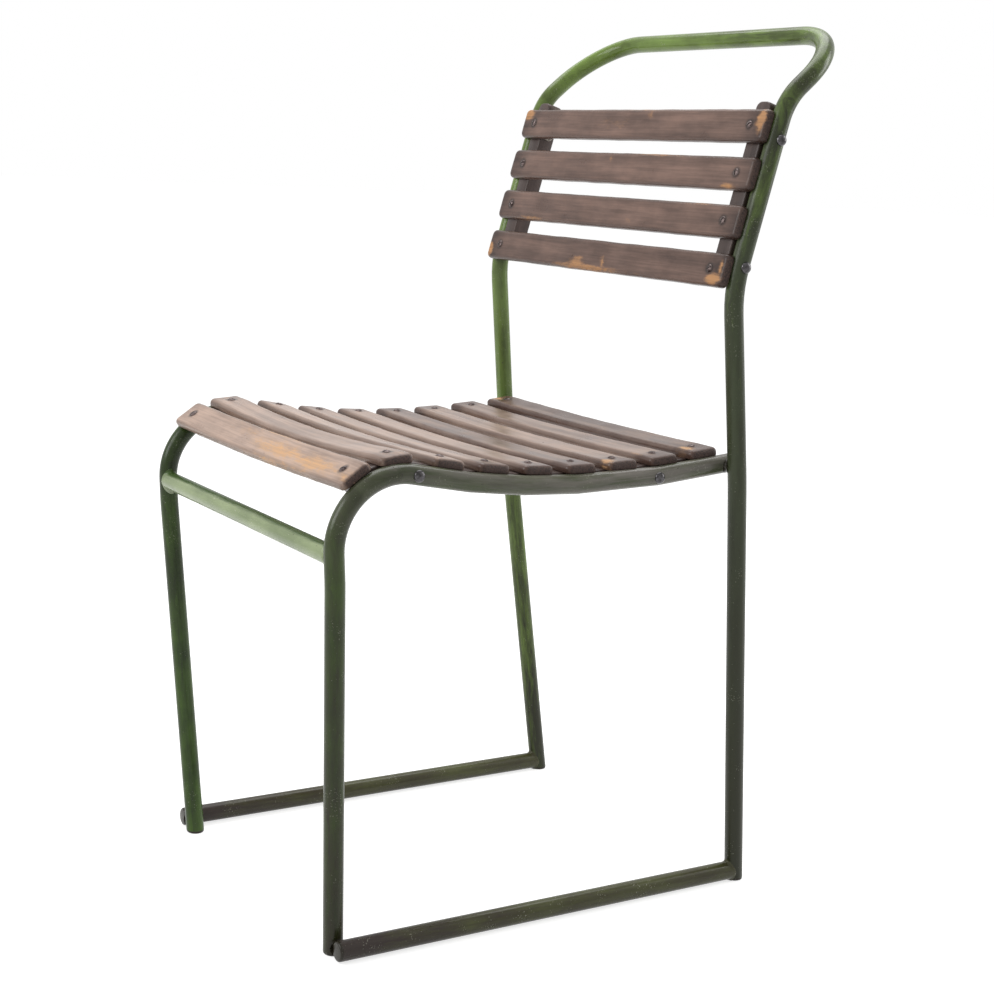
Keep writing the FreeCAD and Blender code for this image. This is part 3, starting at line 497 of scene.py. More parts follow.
def turned_plug(name, place):
    """A tube's closed end: a disc with a rounded lower rim, its upper face against the tube."""
    bpy.ops.object.select_all(action="DESELECT")
    bpy.ops.mesh.primitive_cylinder_add(
        vertices=40, radius=TUBE, depth=FEET_TRIM, location=(0, 0, FEET_TRIM / 2))
    plug = bpy.context.active_object
    plug.name = name
    bpy.ops.object.transform_apply(location=True, rotation=True, scale=True)
    pick(plug, lambda a, b: a.z < 0.0001 and b.z < 0.0001)
    bpy.ops.mesh.bevel(offset=PLUG_RIM, segments=5, affect="EDGES")
    bpy.ops.object.mode_set(mode="OBJECT")
    plug.data.transform(place)
    brush_along(plug, [plug.data.vertices[0].co.copy()])
    return plug


def joined(name, pieces):
    """Like pieces that are one node, as one piece."""
    bpy.ops.object.select_all(action="DESELECT")
    for piece in pieces:
        piece.select_set(True)
    bpy.context.view_layer.objects.active = pieces[0]
    bpy.ops.object.join()
    pieces[0].name = name
    return pieces[0]


def leaning(place, lean):
    """A place on the floor, skewed to follow a tube that leans."""
    skew = Matrix(((1, 0, lean.x, 0), (0, 1, lean.y, 0), (0, 0, 1, 0), (0, 0, 0, 1)))
    return Matrix.Translation(place) @ skew


def facing(place, heading):
    """A place with its upper side towards a heading."""
    return Matrix.Translation(place) @ heading.to_track_quat("Z", "X").to_matrix().to_4x4()


foot_paint = paint(
    "foot_paint", (60, 58, 44), (42, 38, 28), (36, 31, 25), specks=0.3,
    soiled_and_shaded=((0, 0, 1), 0, 1, 0.5, 0.5))
onward, rearward = Vector((0, 1, 0)), Vector((0, math.cos(TAIL_RISE), math.sin(TAIL_RISE)))
feet, runner_ends, rail_ends = [], [], []
for hand in (1, -1):
    for foot, lean in ((FRONT_FOOT, LEG_LEAN), (REAR_FOOT, REAR_LEAN)):
        feet.append(turned_plug("foot", leaning(handed(foot, hand), handed(lean, hand))))
    front = handed(RUNNER_FRONT, hand) - onward * FEET_TRIM
    runner_ends.append(turned_plug("runner_end", facing(front, onward)))
    tail = handed(RAIL_TAIL, hand) + rearward * FEET_TRIM
    rail_ends.append(turned_plug("rail_end", facing(tail, -rearward)))
for name, plugs, node in (
        ("foot_plugs", feet, "leg_end_plugs"),
        ("runner_front_ends", runner_ends, "runner_end_plugs"),
        ("rail_rear_ends", rail_ends, "rail_end_plugs")):
    finished(joined(name, plugs), foot_paint, [node], sharp=60)


# ---------------------------------------------------------------------------------------------
# The brazed joints. Brass run into the crotches of each joint and dressed smooth leaves a hollow
# fillet from tube to tube, under the same paint. The fillets are worked out point by point.

FILLET = 0.0042             # how far a fillet reaches along each tube
EASED = 0.12                # how much its ends are rounded off at the post's sides
ROUND = 48                  # points on a ring
# from the first tube to the second, how far out each ring of a lap fillet lies
LAP_RINGS = (
    (0, 0.0085), (0.125, 0.0066), (0.375, 0.0056), (0.625, 0.0056), (0.875, 0.0066), (1, 0.0085))
ON_FLOOR = 0.0004           # the lowest that a fillet may hang


def ring_mesh(name, rings):
    """A closed band through rings of the same number of points."""
    count = len(rings[0])
    faces = []
    for row in range(len(rings)):
        here, after = row * count, (row + 1) % len(rings) * count
        for n in range(count):
            m = (n + 1) % count
            faces.append((here + n, here + m, after + m, after + n))
    mesh = bpy.data.meshes.new(name)
    mesh.from_pydata([point for ring in rings for point in ring], [], faces)
    piece = bpy.data.objects.new(name, mesh)
    bpy.context.scene.collection.objects.link(piece)
    bpy.ops.object.select_all(action="DESELECT")
    bpy.context.view_layer.objects.active = piece
    piece.select_set(True)
    bpy.ops.object.mode_set(mode="EDIT")
    bpy.ops.mesh.select_all(action="SELECT")
    bpy.ops.mesh.normals_make_consistent(inside=False)
    bpy.ops.object.mode_set(mode="OBJECT")
    brush_along(piece, [mesh.vertices[0].co.copy()])
    return piece


def butt_fillet(name, joint, bar, post, lowest=None):
    """The fillet where a bar butts a post, both of tube size: seven rings that run hollow from
    bar to post, and one inside the metal that closes them."""
    bar, post = bar.normalized(), post.normalized()
    side = bar.cross(post).normalized()
    rings = []
    for t in [step / 6 for step in range(7)] + [None]:
        ring = []
        for n in range(ROUND):
            c, d = math.cos(2 * math.pi * n / ROUND), math.sin(2 * math.pi * n / ROUND)
            face = math.sqrt((1 - EASED) * c * c + EASED)
            meet = Vector((face, c, d)) * TUBE
            spot = meet * 0.8
            if t is not None:
                on_bar = meet + Vector((FILLET, 0, 0))
                round_post = math.copysign(math.sqrt(1.0001 - face ** 2), d) * TUBE
                on_post = Vector((face * TUBE, c * (TUBE + FILLET), round_post))
                spot = on_bar * (1 - t) ** 2 + meet * (2 * t * (1 - t)) + on_post * t ** 2
            spot = joint + bar * spot.x + post * spot.y + side * spot.z
            if lowest is not None:
                spot.z = max(spot.z, lowest)
            ring.append(spot)
        rings.append(ring)
    return ring_mesh(name, rings)


def lap_fillet(name, first, first_axis, second, second_axis):
    """The fillet between two tubes that cross side by side, narrowest half way."""
    way = (second - first).normalized()
    along = first_axis.normalized()
    first_side = way.cross(first_axis).normalized()
    second_side = way.cross(second_axis).normalized()
    rings = []
    for t, reach in LAP_RINGS:
        ring = []
        for n in range(ROUND):
            turn = 2 * math.pi * n / ROUND
            flat = (along * math.cos(turn) + first_side * math.sin(turn)) * reach
            on_first = first + way * math.sqrt(TUBE ** 2 - flat.dot(first_side) ** 2) * 0.98
            on_second = second - way * math.sqrt(TUBE ** 2 - flat.dot(second_side) ** 2) * 0.98
            ring.append(on_first.lerp(on_second, t) + flat)
        rings.append(ring)
    middle = first.lerp(second, 0.5)
    inner = [[point + (middle - point) * 0.6 for point in rings[k]] for k in (5, 0)]
    return ring_mesh(name, rings + inner)


bar_welds, runner_welds, foot_welds, rail_welds = [], [], [], []
for hand in (1, -1):
    bar_welds.append(butt_fillet(
        "bar_weld", handed(CROSSBAR_END, hand), Vector((-hand, 0, 0)), Vector((0, -0.0802, 1))))
    runner_welds.append(butt_fillet(
        "runner_weld", handed(RUNNER_REAR, hand), -onward, handed(REAR_LEAN, hand), ON_FLOOR))
    foot_welds.append(lap_fillet(
        "foot_weld", handed((0.16588, -0.242886, 0.0105), hand), handed(LEG_LEAN, hand),
        handed((0.185277, -0.242886, 0.0105), hand), onward))
    rail_welds.append(lap_fillet(
        "rail_weld", handed((RAIL_X, 0.1614, 0.44705), hand), Vector((0, 0.991, 0.135)),
        handed((0.2155, 0.1614, 0.44705), hand), Vector((0, -0.11, 1))))
for name, welds, joint_paint, node in (
        ("crossbar_fillets", bar_welds, crossbar_lit_paint, "crossbar_welds"),
        ("runner_rear_fillets", runner_welds, runner_paint, "runner_rear_welds"),
        ("runner_front_fillets", foot_welds, foot_paint, "runner_front_welds"),
        ("rail_fillets", rail_welds, foot_paint, "seat_rail_welds")):
    finished(joined(name, welds), joint_paint, [node], sharp=60)


# ---------------------------------------------------------------------------------------------
# The battens. Beech bars bolted inside the tubes: two straight ones up the back, round at the top,
# and two sawn to the dish of the seat. They were stained dark brown, like the slats on them.

BACK_RAKE = 15.2                       # degrees that the back leans
BACK_BAR = (0.021, 0.1853, 0.019)
BACK_BAR_PLACE = (0.1953, 0.17605, 0.78299)
BACK_BAR_TOP = 0.027                   # above the top slat's middle
SEAT_BAR = (0.024, 0.019, 1)
SEAT_BAR_X = 0.1733
SEAT_BAR_FRONT = math.radians(41)      # how far it reaches round the front bend
SEAT_BAR_REAR = math.radians(7.0158)   # and along the rear dish
SLAT_BED = 0.065                       # from the bend's centre to its middle line

board_group, inside = new_group(
    "worn_board", Board="Vector", Number="Float", Tone="Float", BareShare="Float", Dark="Color",
    Light="Color", Bare="Color", Reach="Float", Screw="Float", Halo="Float")
tree = board_group
number = times(tree, inside["Number"], 4.7)


def grain(along, across, detail, roughness):
    """Noise drawn out along the board, different on each board."""
    scales = (along, across, across)
    place = put(tree, "VectorMath", [inside["Board"], scales], operation="MULTIPLY").outputs[0]
    return noise(tree, place, 1.0, detail, roughness, number)


fibre = grain(16, 520, 3.0, 0.6)
figure = grain(7, 90, 4.0, 0.6)
mottle = grain(26, 44, 4.0, 0.6)
flecks = minus(tree, mottle, 0.5)
axes = put(tree, "SeparateXYZ", [inside["Board"]]).outputs
along = maths(tree, "ABSOLUTE", axes["X"])
wide = maths(tree, "ABSOLUTE", axes["Y"])
from_end = minus(tree, inside["Reach"], along)
# the stain: lighter where it is used, darker at the tips and in the pores
tone = weighed(tree, ramp(tree, mottle, 0.36, 0.64), 0.34, inside["Tone"])
tone = weighed(tree, ramp(tree, figure, 0.38, 0.62), 0.42, tone)
tips = times(tree, ramp(tree, from_end, 0.034, 0.004), minus(tree, 0.75, inside["Tone"]))
stain = mixed(tree, minus(tree, tone, tips), inside["Dark"], inside["Light"])
pores = times(tree, ramp(tree, fibre, 0.58, 0.40), 0.30)
stain = mixed(tree, pores, stain, mixed(tree, 0.75, stain, (0.02, 0.012, 0.01, 1)))
# bare wood, and stain that is wearing thin round it
rubbed = plus(tree, inside["BareShare"], minus(tree, grain(60, 190, 5.0, 0.7), 0.5))
bare = ramp(tree, rubbed, 0.46, 0.62)
wood = mixed(tree, 0.35, inside["Bare"], stain)
wood = mixed(tree, ramp(tree, fibre, 0.40, 0.62), wood, inside["Bare"])
thin = ramp(tree, rubbed, 0.30, 0.50, 0.0, 0.55)
thin = mixed(tree, thin, stain, mixed(tree, 0.5, stain, inside["Bare"]))
skin = mixed(tree, bare, thin, wood)
# painted shade along the rounded edges, darker towards the sides and less where the wood is bare
edge = ramp(tree, minus(tree, mottle, times(tree, bare, 0.3)), 0.34, 0.60, 0.15, 0.75)
edge = times(tree, ramp(tree, wide, 0.0128, 0.0166), edge)
skin = mixed(tree, edge, skin, mixed(tree, 0.7, skin, (0.045, 0.027, 0.022, 1)))
# end grain, following the rounded corners
cornered = maths(tree, "POWER", maths(tree, "DIVIDE", wide, 0.017), 4.0)
from_end = weighed(tree, flecks, 0.004, weighed(tree, cornered, 0.0022, from_end))
end = ramp(tree, from_end, 0.0036, 0.0010)
end_grain = ramp(tree, grain(200, 700, 2.0, 0.6), 0.35, 0.65)
end_wood = mixed(tree, end_grain, (0.030, 0.020, 0.018, 1), (0.085, 0.052, 0.042, 1))
covered = times(tree, end, minus(tree, 1.0, times(tree, bare, 0.85)))
skin = mixed(tree, covered, skin, end_wood)
# a dark ring round each screw
off_x = maths(tree, "POWER", minus(tree, along, inside["Screw"]), 2.0)
off_y = maths(tree, "POWER", axes["Y"], 2.0)
from_screw = weighed(tree, flecks, 0.003, maths(tree, "SQRT", plus(tree, off_x, off_y)))
ring = times(tree, ramp(tree, from_screw, 0.0074, 0.0044), inside["Halo"])
skin = mixed(tree, times(tree, ring, 0.75), skin, (0.020, 0.014, 0.013, 1))
rough = weighed(tree, ramp(tree, mottle, 0.35, 0.65), 0.12, 0.27)
rough = weighed(tree, bare, 0.18, weighed(tree, end, 0.3, rough))
height = weighed(tree, fibre, 0.45, weighed(tree, mottle, 0.5, times(tree, bare, -0.35)))
put(tree, "", {"Colour": skin, "Roughness": rough, "Height": height})


def board_finish(name, dark, light, bare, reach=1.0, screw=1.0, halo=0.0):
    """Stained beech, rubbed bare in places, in the coordinates that each board carries."""
    material, tree = new_material(name)
    board = put(tree, "Attribute", attribute_name="board").outputs["Vector"]
    made = put(tree, "Group", {
        "Board": board, "Dark": colour(*dark), "Light": colour(*light), "Bare": colour(*bare),
        "Reach": reach, "Screw": screw, "Halo": halo}, node_tree=board_group)
    for key, mark in (("Number", "number"), ("Tone", "tone"), ("BareShare", "bare")):
        marked = put(tree, "Attribute", attribute_name=mark)
        tree.links.new(marked.outputs["Fac"], made.inputs[key])
    surfaced(
        tree, made.outputs["Colour"], made.outputs["Roughness"], made.outputs["Height"],
        0.00035, 0.6, {"Specular IOR Level": 0.3})
    return material


def mark_board(piece, number, tone, patches=(), lengthwise="x", middle=0.0):
    """Give a board its own coordinates, its number, its tone and where it is rubbed bare. A patch
    is its middle, half its length and width in millimetres, and how far it is worn."""
    mesh = piece.data
    spots = [vertex.co for vertex in mesh.vertices]
    if lengthwise == "y":
        spots = [Vector((spot.y, spot.x - middle, spot.z)) for spot in spots]
    place = mesh.attributes.new("board", "FLOAT_VECTOR", "POINT")
    place.data.foreach_set("vector", [value for spot in spots for value in spot])
    worn = []
    for vertex in mesh.vertices:
        x, y = vertex.co.x * 1000, vertex.co.y * 1000
        worn.append(max([0.0] + [
            depth * max(0.0, 1.25 - math.hypot((x - mx) / rx, (y - my) / ry) * 0.75)
            for mx, my, rx, ry, depth in patches]))
    count = len(worn)
    for mark, values in (("number", [number] * count), ("tone", [tone] * count), ("bare", worn)):
        mesh.attributes.new(mark, "FLOAT", "POINT").data.foreach_set("value", values)


def modified(piece, kind, **settings):
    """Add a modifier and apply it."""
    bpy.context.view_layer.objects.active = piece
    modifier = piece.modifiers.new(kind.lower(), kind)
    for key, value in settings.items():
        setattr(modifier, key, value)
    bpy.ops.object.modifier_apply(modifier=modifier.name)


def eased(piece, width, segments):
    """Take off all sharp edges."""
    modified(
        piece, "BEVEL", width=width, segments=segments, limit_method="ANGLE",
        angle_limit=math.radians(50))


def laid(place, tilt):
    """A place, tipped back by some degrees."""
    return Matrix.Translation(place) @ Matrix.Rotation(math.radians(tilt), 4, "X")


batten_finish = board_finish("batten_stain", (54, 43, 40), (88, 73, 68), (176, 124, 84))
for side, hand in SIDES:
    bpy.ops.object.select_all(action="DESELECT")
    bpy.ops.mesh.primitive_cube_add(size=1, location=(0, 0, 0))
    batten = bpy.context.active_object
    batten.name = side + "_back_bar"
    bpy.ops.object.mode_set(mode="EDIT")
    bpy.ops.transform.resize(value=BACK_BAR)
    bpy.ops.transform.translate(value=(0, BACK_BAR_TOP - BACK_BAR[1] / 2, -BACK_BAR[2] / 2))
    bpy.ops.object.mode_set(mode="OBJECT")
    pick(batten, lambda a, b: min(a.y, b.y) > BACK_BAR_TOP - 0.001 and abs(a.x - b.x) < 0.001)
    bpy.ops.mesh.bevel(offset=0.007, segments=6, affect="EDGES")
    bpy.ops.object.mode_set(mode="OBJECT")
    eased(batten, 0.0014, 3)
    mark_board(batten, 21.0 + hand, 0.30, lengthwise="y")
    batten.data.transform(laid(handed(BACK_BAR_PLACE, hand), 90 - BACK_RAKE))
    finished(batten, batten_finish, [side + "_back_batten"], sharp=50)

for side, hand in SIDES:
    middle = Vector((SEAT_BAR_X * hand, 0, 0))
    front_turn = Matrix.Rotation(SEAT_BAR_FRONT, 3, "X")
    start = bend_centre + middle + front_turn @ Vector((0, 0, SLAT_BED))
    bpy.ops.object.select_all(action="DESELECT")
    bpy.ops.mesh.primitive_plane_add(
        size=1, location=start, rotation=(SEAT_BAR_FRONT - math.pi / 2, 0, 0))
    batten = bpy.context.active_object
    batten.name = side + "_seat_bar"
    batten.scale = SEAT_BAR
    bpy.ops.object.mode_set(mode="EDIT")
    bpy.ops.mesh.select_all(action="SELECT")
    bpy.ops.mesh.delete(type="ONLY_FACE")
    bpy.ops.object.mode_set(mode="OBJECT")
    draw_out(batten, start, [
        (bend_centre + middle, Vector((-1, 0, 0)), SEAT_BAR_FRONT + dish_starts),
        (front_dish + middle, Vector((1, 0, 0)), dish_starts),
        (rear_dish + middle, Vector((1, 0, 0)), SEAT_BAR_REAR),
    ])
    eased(batten, 0.0012, 3)
    mark_board(batten, 31.0 + hand, 0.22, lengthwise="y", middle=SEAT_BAR_X * hand)
    finished(batten, batten_finish, [side + "_seat_batten"], sharp=50)


# ---------------------------------------------------------------------------------------------
# The seat slats. Nine beech slats, 390 x 34 x 8.5 mm, rounded at the corners and along the upper
# edges, each screwed down at both ends. Sitting has rubbed the stain off, most of all in front.

THICK = 0.0085
WIDE = 0.034
SEAT_SLAT = 0.390
SEAT_SCREW = 0.1728
CUTS = 60
LINES = 0.0048


def slat_blank(name, length):
    """A slat with its back on the ground: corners, then upper edge, then lower edge rounded. Cuts
    across and along it leave enough points for the bow and the wear."""
    bpy.ops.object.select_all(action="DESELECT")
    bpy.ops.mesh.primitive_cube_add(size=1, location=(0, 0, 0))
    slat = bpy.context.active_object
    slat.name = name
    bpy.ops.object.mode_set(mode="EDIT")
    bpy.ops.transform.resize(value=(length, WIDE, THICK))
    bpy.ops.transform.translate(value=(0, 0, THICK / 2))
    for test, offset, segments in (
            (lambda a, b: abs(a.z - b.z) > THICK / 2, 0.006, 5),
            (lambda a, b: min(a.z, b.z) > THICK - 0.0001, 0.0045, 6),
            (lambda a, b: max(a.z, b.z) < 0.0001, 0.0010, 2)):
        bpy.ops.object.mode_set(mode="OBJECT")
        pick(slat, test)
        bpy.ops.mesh.bevel(offset=offset, segments=segments, affect="EDGES")
    for n in range(1, CUTS):
        bpy.ops.mesh.select_all(action="SELECT")
        bpy.ops.mesh.bisect(plane_co=(length * (n / CUTS - 0.5), 0, 0), plane_no=(1, 0, 0))
    for n in range(-2, 3):
        bpy.ops.mesh.select_all(action="SELECT")
        bpy.ops.mesh.bisect(plane_co=(0, n * LINES, 0), plane_no=(0, 1, 0))
    bpy.ops.object.mode_set(mode="OBJECT")
    return slat


BOW = 0.173                 # half the length that sags, from screw to screw
unevenness = bpy.data.textures.new("unevenness", "CLOUDS")
unevenness.noise_scale = 0.03
unevenness.noise_depth = 2


def laid_slat(blank, name, number, tone, patches, bed, sag=0.0):
    """A copy of the blank with its own wear, bowed down in the middle by use, laid on its bed."""
    slat = blank.copy()
    slat.data = blank.data.copy()
    slat.name = name
    bpy.context.scene.collection.objects.link(slat)
    mark_board(slat, number, tone, patches)
    if sag:
        bpy.ops.object.select_all(action="DESELECT")
        bpy.context.view_layer.objects.active = slat
        slat.select_set(True)
        pick(slat, lambda a, b: abs(a.x) < 0.0001 and abs(b.x) < 0.0001)
        bpy.ops.transform.translate(
            value=(0, 0, -sag), use_proportional_edit=True,
            proportional_edit_falloff="INVERSE_SQUARE", proportional_size=BOW)
        bpy.ops.object.mode_set(mode="OBJECT")
    slat.data.transform(bed)
    modified(
        slat, "DISPLACE", texture=unevenness, texture_coords="LOCAL", strength=0.0009,
        mid_level=0.5)
    return slat


seat_finish = board_finish(
    "seat_slat_stain", (92, 70, 61), (184, 158, 142), (206, 162, 118),
    SEAT_SLAT / 2, SEAT_SCREW, 1.0)
seat_beds = [laid((0, y, z), tilt) for y, z, tilt in (
    (-0.25105, 0.45119, 35.00), (-0.21220, 0.46330, 5.00), (-0.15805, 0.45688, -9.26),
    (-0.10881, 0.45028, -6.01), (-0.05956, 0.44650, -2.78), (-0.01029, 0.44548, 0.28),
    (0.03916, 0.44660, 2.32), (0.08861, 0.44949, 4.36), (0.13806, 0.45414, 6.41))]
seat_tones = [0.50, 0.38, 0.32, 0.22, 0.22, -0.08, 0.12, 0.02, -0.34]
seat_sags = [0.0040, 0.0065, 0.0040, 0.0035, 0.0030, 0.0030, 0.0025, 0.0025, 0.0020]
seat_wear = {
    1: [(40, -3, 80, 15, 0.56), (120, -5, 70, 13, 0.58), (-40, 6, 50, 10, 0.38),
        (188, -8, 10, 8, 0.55), (20, 15, 150, 3, 0.46), (60, -16, 120, 3, 0.46)],
    2: [(-186, 0, 12, 14, 0.34), (186, 6, 10, 8, 0.45)],
    3: [(186, -12, 8, 5, 0.5)],
    7: [(184, -12, 9, 7, 0.75)],
    8: [(170, -13, 18, 4, 0.42), (60, -8, 50, 6, 0.28)],
    9: [(-186, -4, 12, 12, 0.55), (176, -10, 12, 9, 0.62)],
}
blank = slat_blank("seat_slat_blank", SEAT_SLAT)
for number, (bed, tone, sag) in enumerate(zip(seat_beds, seat_tones, seat_sags), start=1):
    wear = seat_wear.get(number, [])
    slat = laid_slat(blank, "seat_board_%d" % number, float(number), tone, wear, bed, sag)
    finished(slat, seat_finish, ["seat_slat_%d" % number], sharp=50)
bpy.data.objects.remove(blank)


# ---------------------------------------------------------------------------------------------
# The back slats. Four longer slats of the same section, 434 mm, screwed to the back battens. They
# have kept more of their stain, and are rubbed bare only at the corners and along the lowest edge.

BACK_SLAT = 0.434
BACK_SCREW = 0.1933

back_finish = board_finish(
    "back_slat_stain", (64, 47, 41), (134, 107, 95), (186, 138, 94),
    BACK_SLAT / 2, BACK_SCREW, 1.0)
back_beds = [laid((0, y, z), 90 - BACK_RAKE) for y, z in (
    (0.17586, 0.78304), (0.16298, 0.73566), (0.15011, 0.68828), (0.13723, 0.64090))]
back_tones = [0.22, 0.24, 0.20, 0.14]
back_wear = [
    [(209, 6, 7, 14, 0.80), (26, 11, 4, 9, 0.74), (-208, 10, 12, 9, 0.72), (-30, 0, 60, 12, 0.30),
     (10, 17, 60, 3, 0.45)],
    [(60, 16, 60, 3, 0.56), (185, -14, 18, 4, 0.56), (-20, 8, 4, 5, 0.60)],
    [(150, 16, 24, 3, 0.52), (40, -8, 4, 7, 0.58), (-150, -15, 40, 3, 0.50)],
    [(-212, -7, 7, 9, 0.85), (-32, -9, 16, 7, 0.62), (14, -7, 6, 10, 0.62),
     (-10, -15, 80, 4, 0.60), (203, -10, 13, 7, 0.78), (209, 2, 4, 10, 0.6)],
]
blank = slat_blank("back_slat_blank", BACK_SLAT)
for number, (bed, tone, wear) in enumerate(zip(back_beds, back_tones, back_wear), start=1):
    slat = laid_slat(blank, "back_board_%d" % number, 10.0 + number, tone, wear, bed)
    finished(slat, back_finish, ["back_slat_%d" % number], sharp=50)
bpy.data.objects.remove(blank)


# ---------------------------------------------------------------------------------------------
# The slat screws. Round-headed steel wood screws with one slot, blackened with age and driven
# down until the head bites into the wood.

SCREW_RADIUS, SCREW_RISE = 0.0042, 0.0021
SLOT_WIDTH, SLOT_DEPTH = 0.0009, 0.0011
SLOT_TURNS = (35, 80, 100, 12, 64, 145, 28, 95, 170, 50, 120, 5, 75, 150, 40, 110, 20, 88)


def steel(name, tint, dull, roughness):
    """Old steel, mottled at random from nearly black to rubbed."""
    material, tree = new_material(name)
    place = put(tree, "TexCoord").outputs["Object"]
    rust = ramp(tree, noise(tree, place, 260.0, 4.0, 0.65), 0.42, 0.62)
    skin = mixed(tree, rust, colour(*tint), colour(*dull))
    smears = noise(tree, place, 500.0, 2.0)
    rough = ramp(tree, smears, 0.3, 0.7, roughness, roughness + 0.16)
    pitted = noise(tree, place, 900.0, 3.0, 0.6)
    surfaced(tree, skin, rough, pitted, 0.0001, 0.5, {"Metallic": 0.75})
    return material


def domed_head(name, radius, rise, sides=28):
    """A low dome with its flat underside on the ground."""
    bpy.ops.object.select_all(action="DESELECT")
    bpy.ops.mesh.primitive_uv_sphere_add(segments=sides, ring_count=16, radius=1)
    head = bpy.context.active_object
    head.name = name
    cut_flat(head, (0, 0, 0.0001), (0, 0, 1))
    bpy.ops.object.mode_set(mode="EDIT")
    bpy.ops.mesh.select_all(action="SELECT")
    bpy.ops.transform.resize(value=(radius, radius, rise), center_override=(0, 0, 0))
    bpy.ops.object.mode_set(mode="OBJECT")
    return head


def slotted(head, width, depth, rise):
    """Saw a driver's slot across a head."""
    bpy.ops.object.select_all(action="DESELECT")
    bpy.ops.mesh.primitive_cube_add(size=1, location=(0, 0, rise))
    saw = bpy.context.active_object
    saw.scale = (0.03, width, 2 * depth)
    bpy.ops.object.transform_apply(location=True, rotation=True, scale=True)
    modified(head, "BOOLEAN", object=saw, operation="DIFFERENCE", solver="EXACT")
    bpy.data.objects.remove(saw)
    return head


def driven(head, places):
    """A copy of a head at each place, with its slot turned its own way."""
    copies = []
    for place, turn in places:
        copy = head.copy()
        copy.data = head.data.copy()
        bpy.context.scene.collection.objects.link(copy)
        copy.data.transform(place @ Matrix.Rotation(math.radians(turn), 4, "Z"))
        copies.append(copy)
    return copies


screw_steel = steel("screw_steel", (104, 92, 90), (52, 40, 38), 0.30)
screw_head = domed_head("screw_blank", SCREW_RADIUS, SCREW_RISE)
slotted(screw_head, SLOT_WIDTH, SLOT_DEPTH, SCREW_RISE)
for part, beds, reach, sunk in (
        ("seat", seat_beds, SEAT_SCREW, 0.0005), ("back", back_beds, BACK_SCREW, 0.0002)):
    spots = [bed @ Matrix.Translation((reach * hand, 0, THICK - sunk))
             for bed in beds for hand in (1, -1)]
    screws = joined(part + "_screw_heads", driven(screw_head, zip(spots, SLOT_TURNS)))
    finished(screws, screw_steel, [part + "_slat_screws"], sharp=40)
bpy.data.objects.remove(screw_head)


# ---------------------------------------------------------------------------------------------
# The batten bolts. Domed steel bolts put through the tube and the batten from outside, with a
# washer and a hexagon nut on the inner face of the batten.

HEAD_RADIUS, HEAD_RISE, SHANK_RADIUS = 0.00575, 0.0036, 0.0025
WASHER_RADIUS, WASHER_BORE, WASHER_THICK = 0.00625, 0.00265, 0.0012
NUT_ACROSS, NUT_THICK = 0.008, 0.004
PAST_NUT = 0.0025


def through_bolt(name, length):
    """A domed head on a shank, the head's seat on the ground."""
    head = domed_head(name, HEAD_RADIUS, HEAD_RISE, 32)
    bpy.ops.mesh.primitive_cylinder_add(
        vertices=20, radius=SHANK_RADIUS, depth=length, location=(0, 0, -length / 2))
    shank = bpy.context.active_object
    bpy.ops.object.transform_apply(location=True, rotation=True, scale=True)
    pick(shank, lambda a, b: max(a.z, b.z) < -length + 0.0001)
    bpy.ops.mesh.bevel(offset=0.0006, segments=2, affect="EDGES")
    bpy.ops.object.mode_set(mode="OBJECT")
    return joined(name, [head, shank])


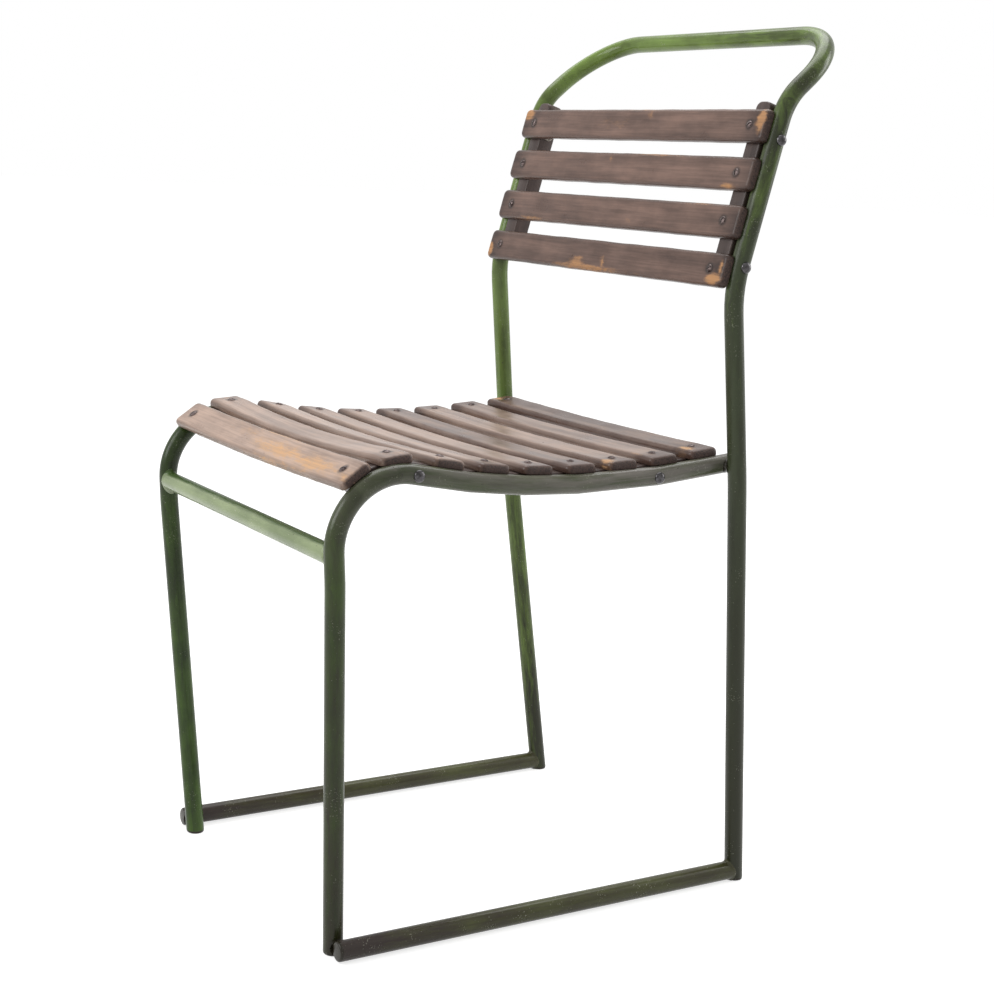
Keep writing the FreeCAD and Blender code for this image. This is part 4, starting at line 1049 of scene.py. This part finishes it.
def plain_washer():
    """A disc with a hole, its edges eased."""
    bpy.ops.object.select_all(action="DESELECT")
    bpy.ops.mesh.primitive_cylinder_add(
        vertices=36, radius=WASHER_RADIUS, depth=WASHER_THICK, end_fill_type="NOTHING",
        location=(0, 0, WASHER_THICK / 2))
    washer = bpy.context.active_object
    bpy.ops.object.transform_apply(location=True, rotation=True, scale=True)
    bpy.ops.object.mode_set(mode="EDIT")
    bpy.ops.mesh.select_all(action="SELECT")
    bpy.ops.mesh.duplicate()
    inward = WASHER_BORE / WASHER_RADIUS
    bpy.ops.transform.resize(value=(inward, inward, 1))
    for upper in (True, False):
        bpy.ops.object.mode_set(mode="OBJECT")
        pick(washer, lambda a, b: abs(a.z - b.z) < 0.0001 and (a.z > WASHER_THICK / 2) == upper)
        bpy.ops.mesh.bridge_edge_loops()
    bpy.ops.mesh.select_all(action="SELECT")
    bpy.ops.mesh.normals_make_consistent(inside=False)
    bpy.ops.object.mode_set(mode="OBJECT")
    eased(washer, 0.00025, 2)
    return washer


def hexagon_nut():
    """A six-sided nut with its corners turned off."""
    bpy.ops.object.select_all(action="DESELECT")
    bpy.ops.mesh.primitive_cylinder_add(
        vertices=6, radius=NUT_ACROSS / math.sqrt(3), depth=NUT_THICK,
        location=(0, 0, NUT_THICK / 2))
    nut = bpy.context.active_object
    bpy.ops.object.transform_apply(location=True, rotation=True, scale=True)
    eased(nut, 0.0005, 2)
    return nut


bolt_steel = steel("bolt_steel", (84, 82, 84), (54, 52, 52), 0.16)
nut_steel = steel("nut_steel", (138, 134, 128), (82, 70, 60), 0.34)
for part, spots, outer, inner in (
        ("seat", [(-0.19554, 0.453753), (0.07496, 0.438626)], 0.2045, 0.1613),
        ("back", [(0.148673, 0.646), (0.182635, 0.771)], 0.2250, 0.1848)):
    washer_face = inner - WASHER_THICK
    nut_face = washer_face - NUT_THICK
    bolt = through_bolt(part + "_bolt_blank", outer - nut_face + PAST_NUT)
    for piece, face, slot, ending, finish in (
            (bolt, outer, "bolt", "_batten_bolts", bolt_steel),
            (plain_washer(), washer_face, "washer_nut", "_bolt_washers", nut_steel),
            (hexagon_nut(), nut_face, "washer_nut", "_bolt_nuts", nut_steel)):
        places = []
        for y, z in spots:
            for hand in (1, -1):
                place = Matrix.Translation((face * hand, y, z))
                outward = Matrix.Rotation(math.radians(90 * hand), 4, "Y")
                places.append((place @ outward, 30 + 17 * len(places)))
        made = joined(part + ending + "_made", driven(piece, places))
        finished(made, finish, [part + ending], sharp=40)
        bpy.data.objects.remove(piece)
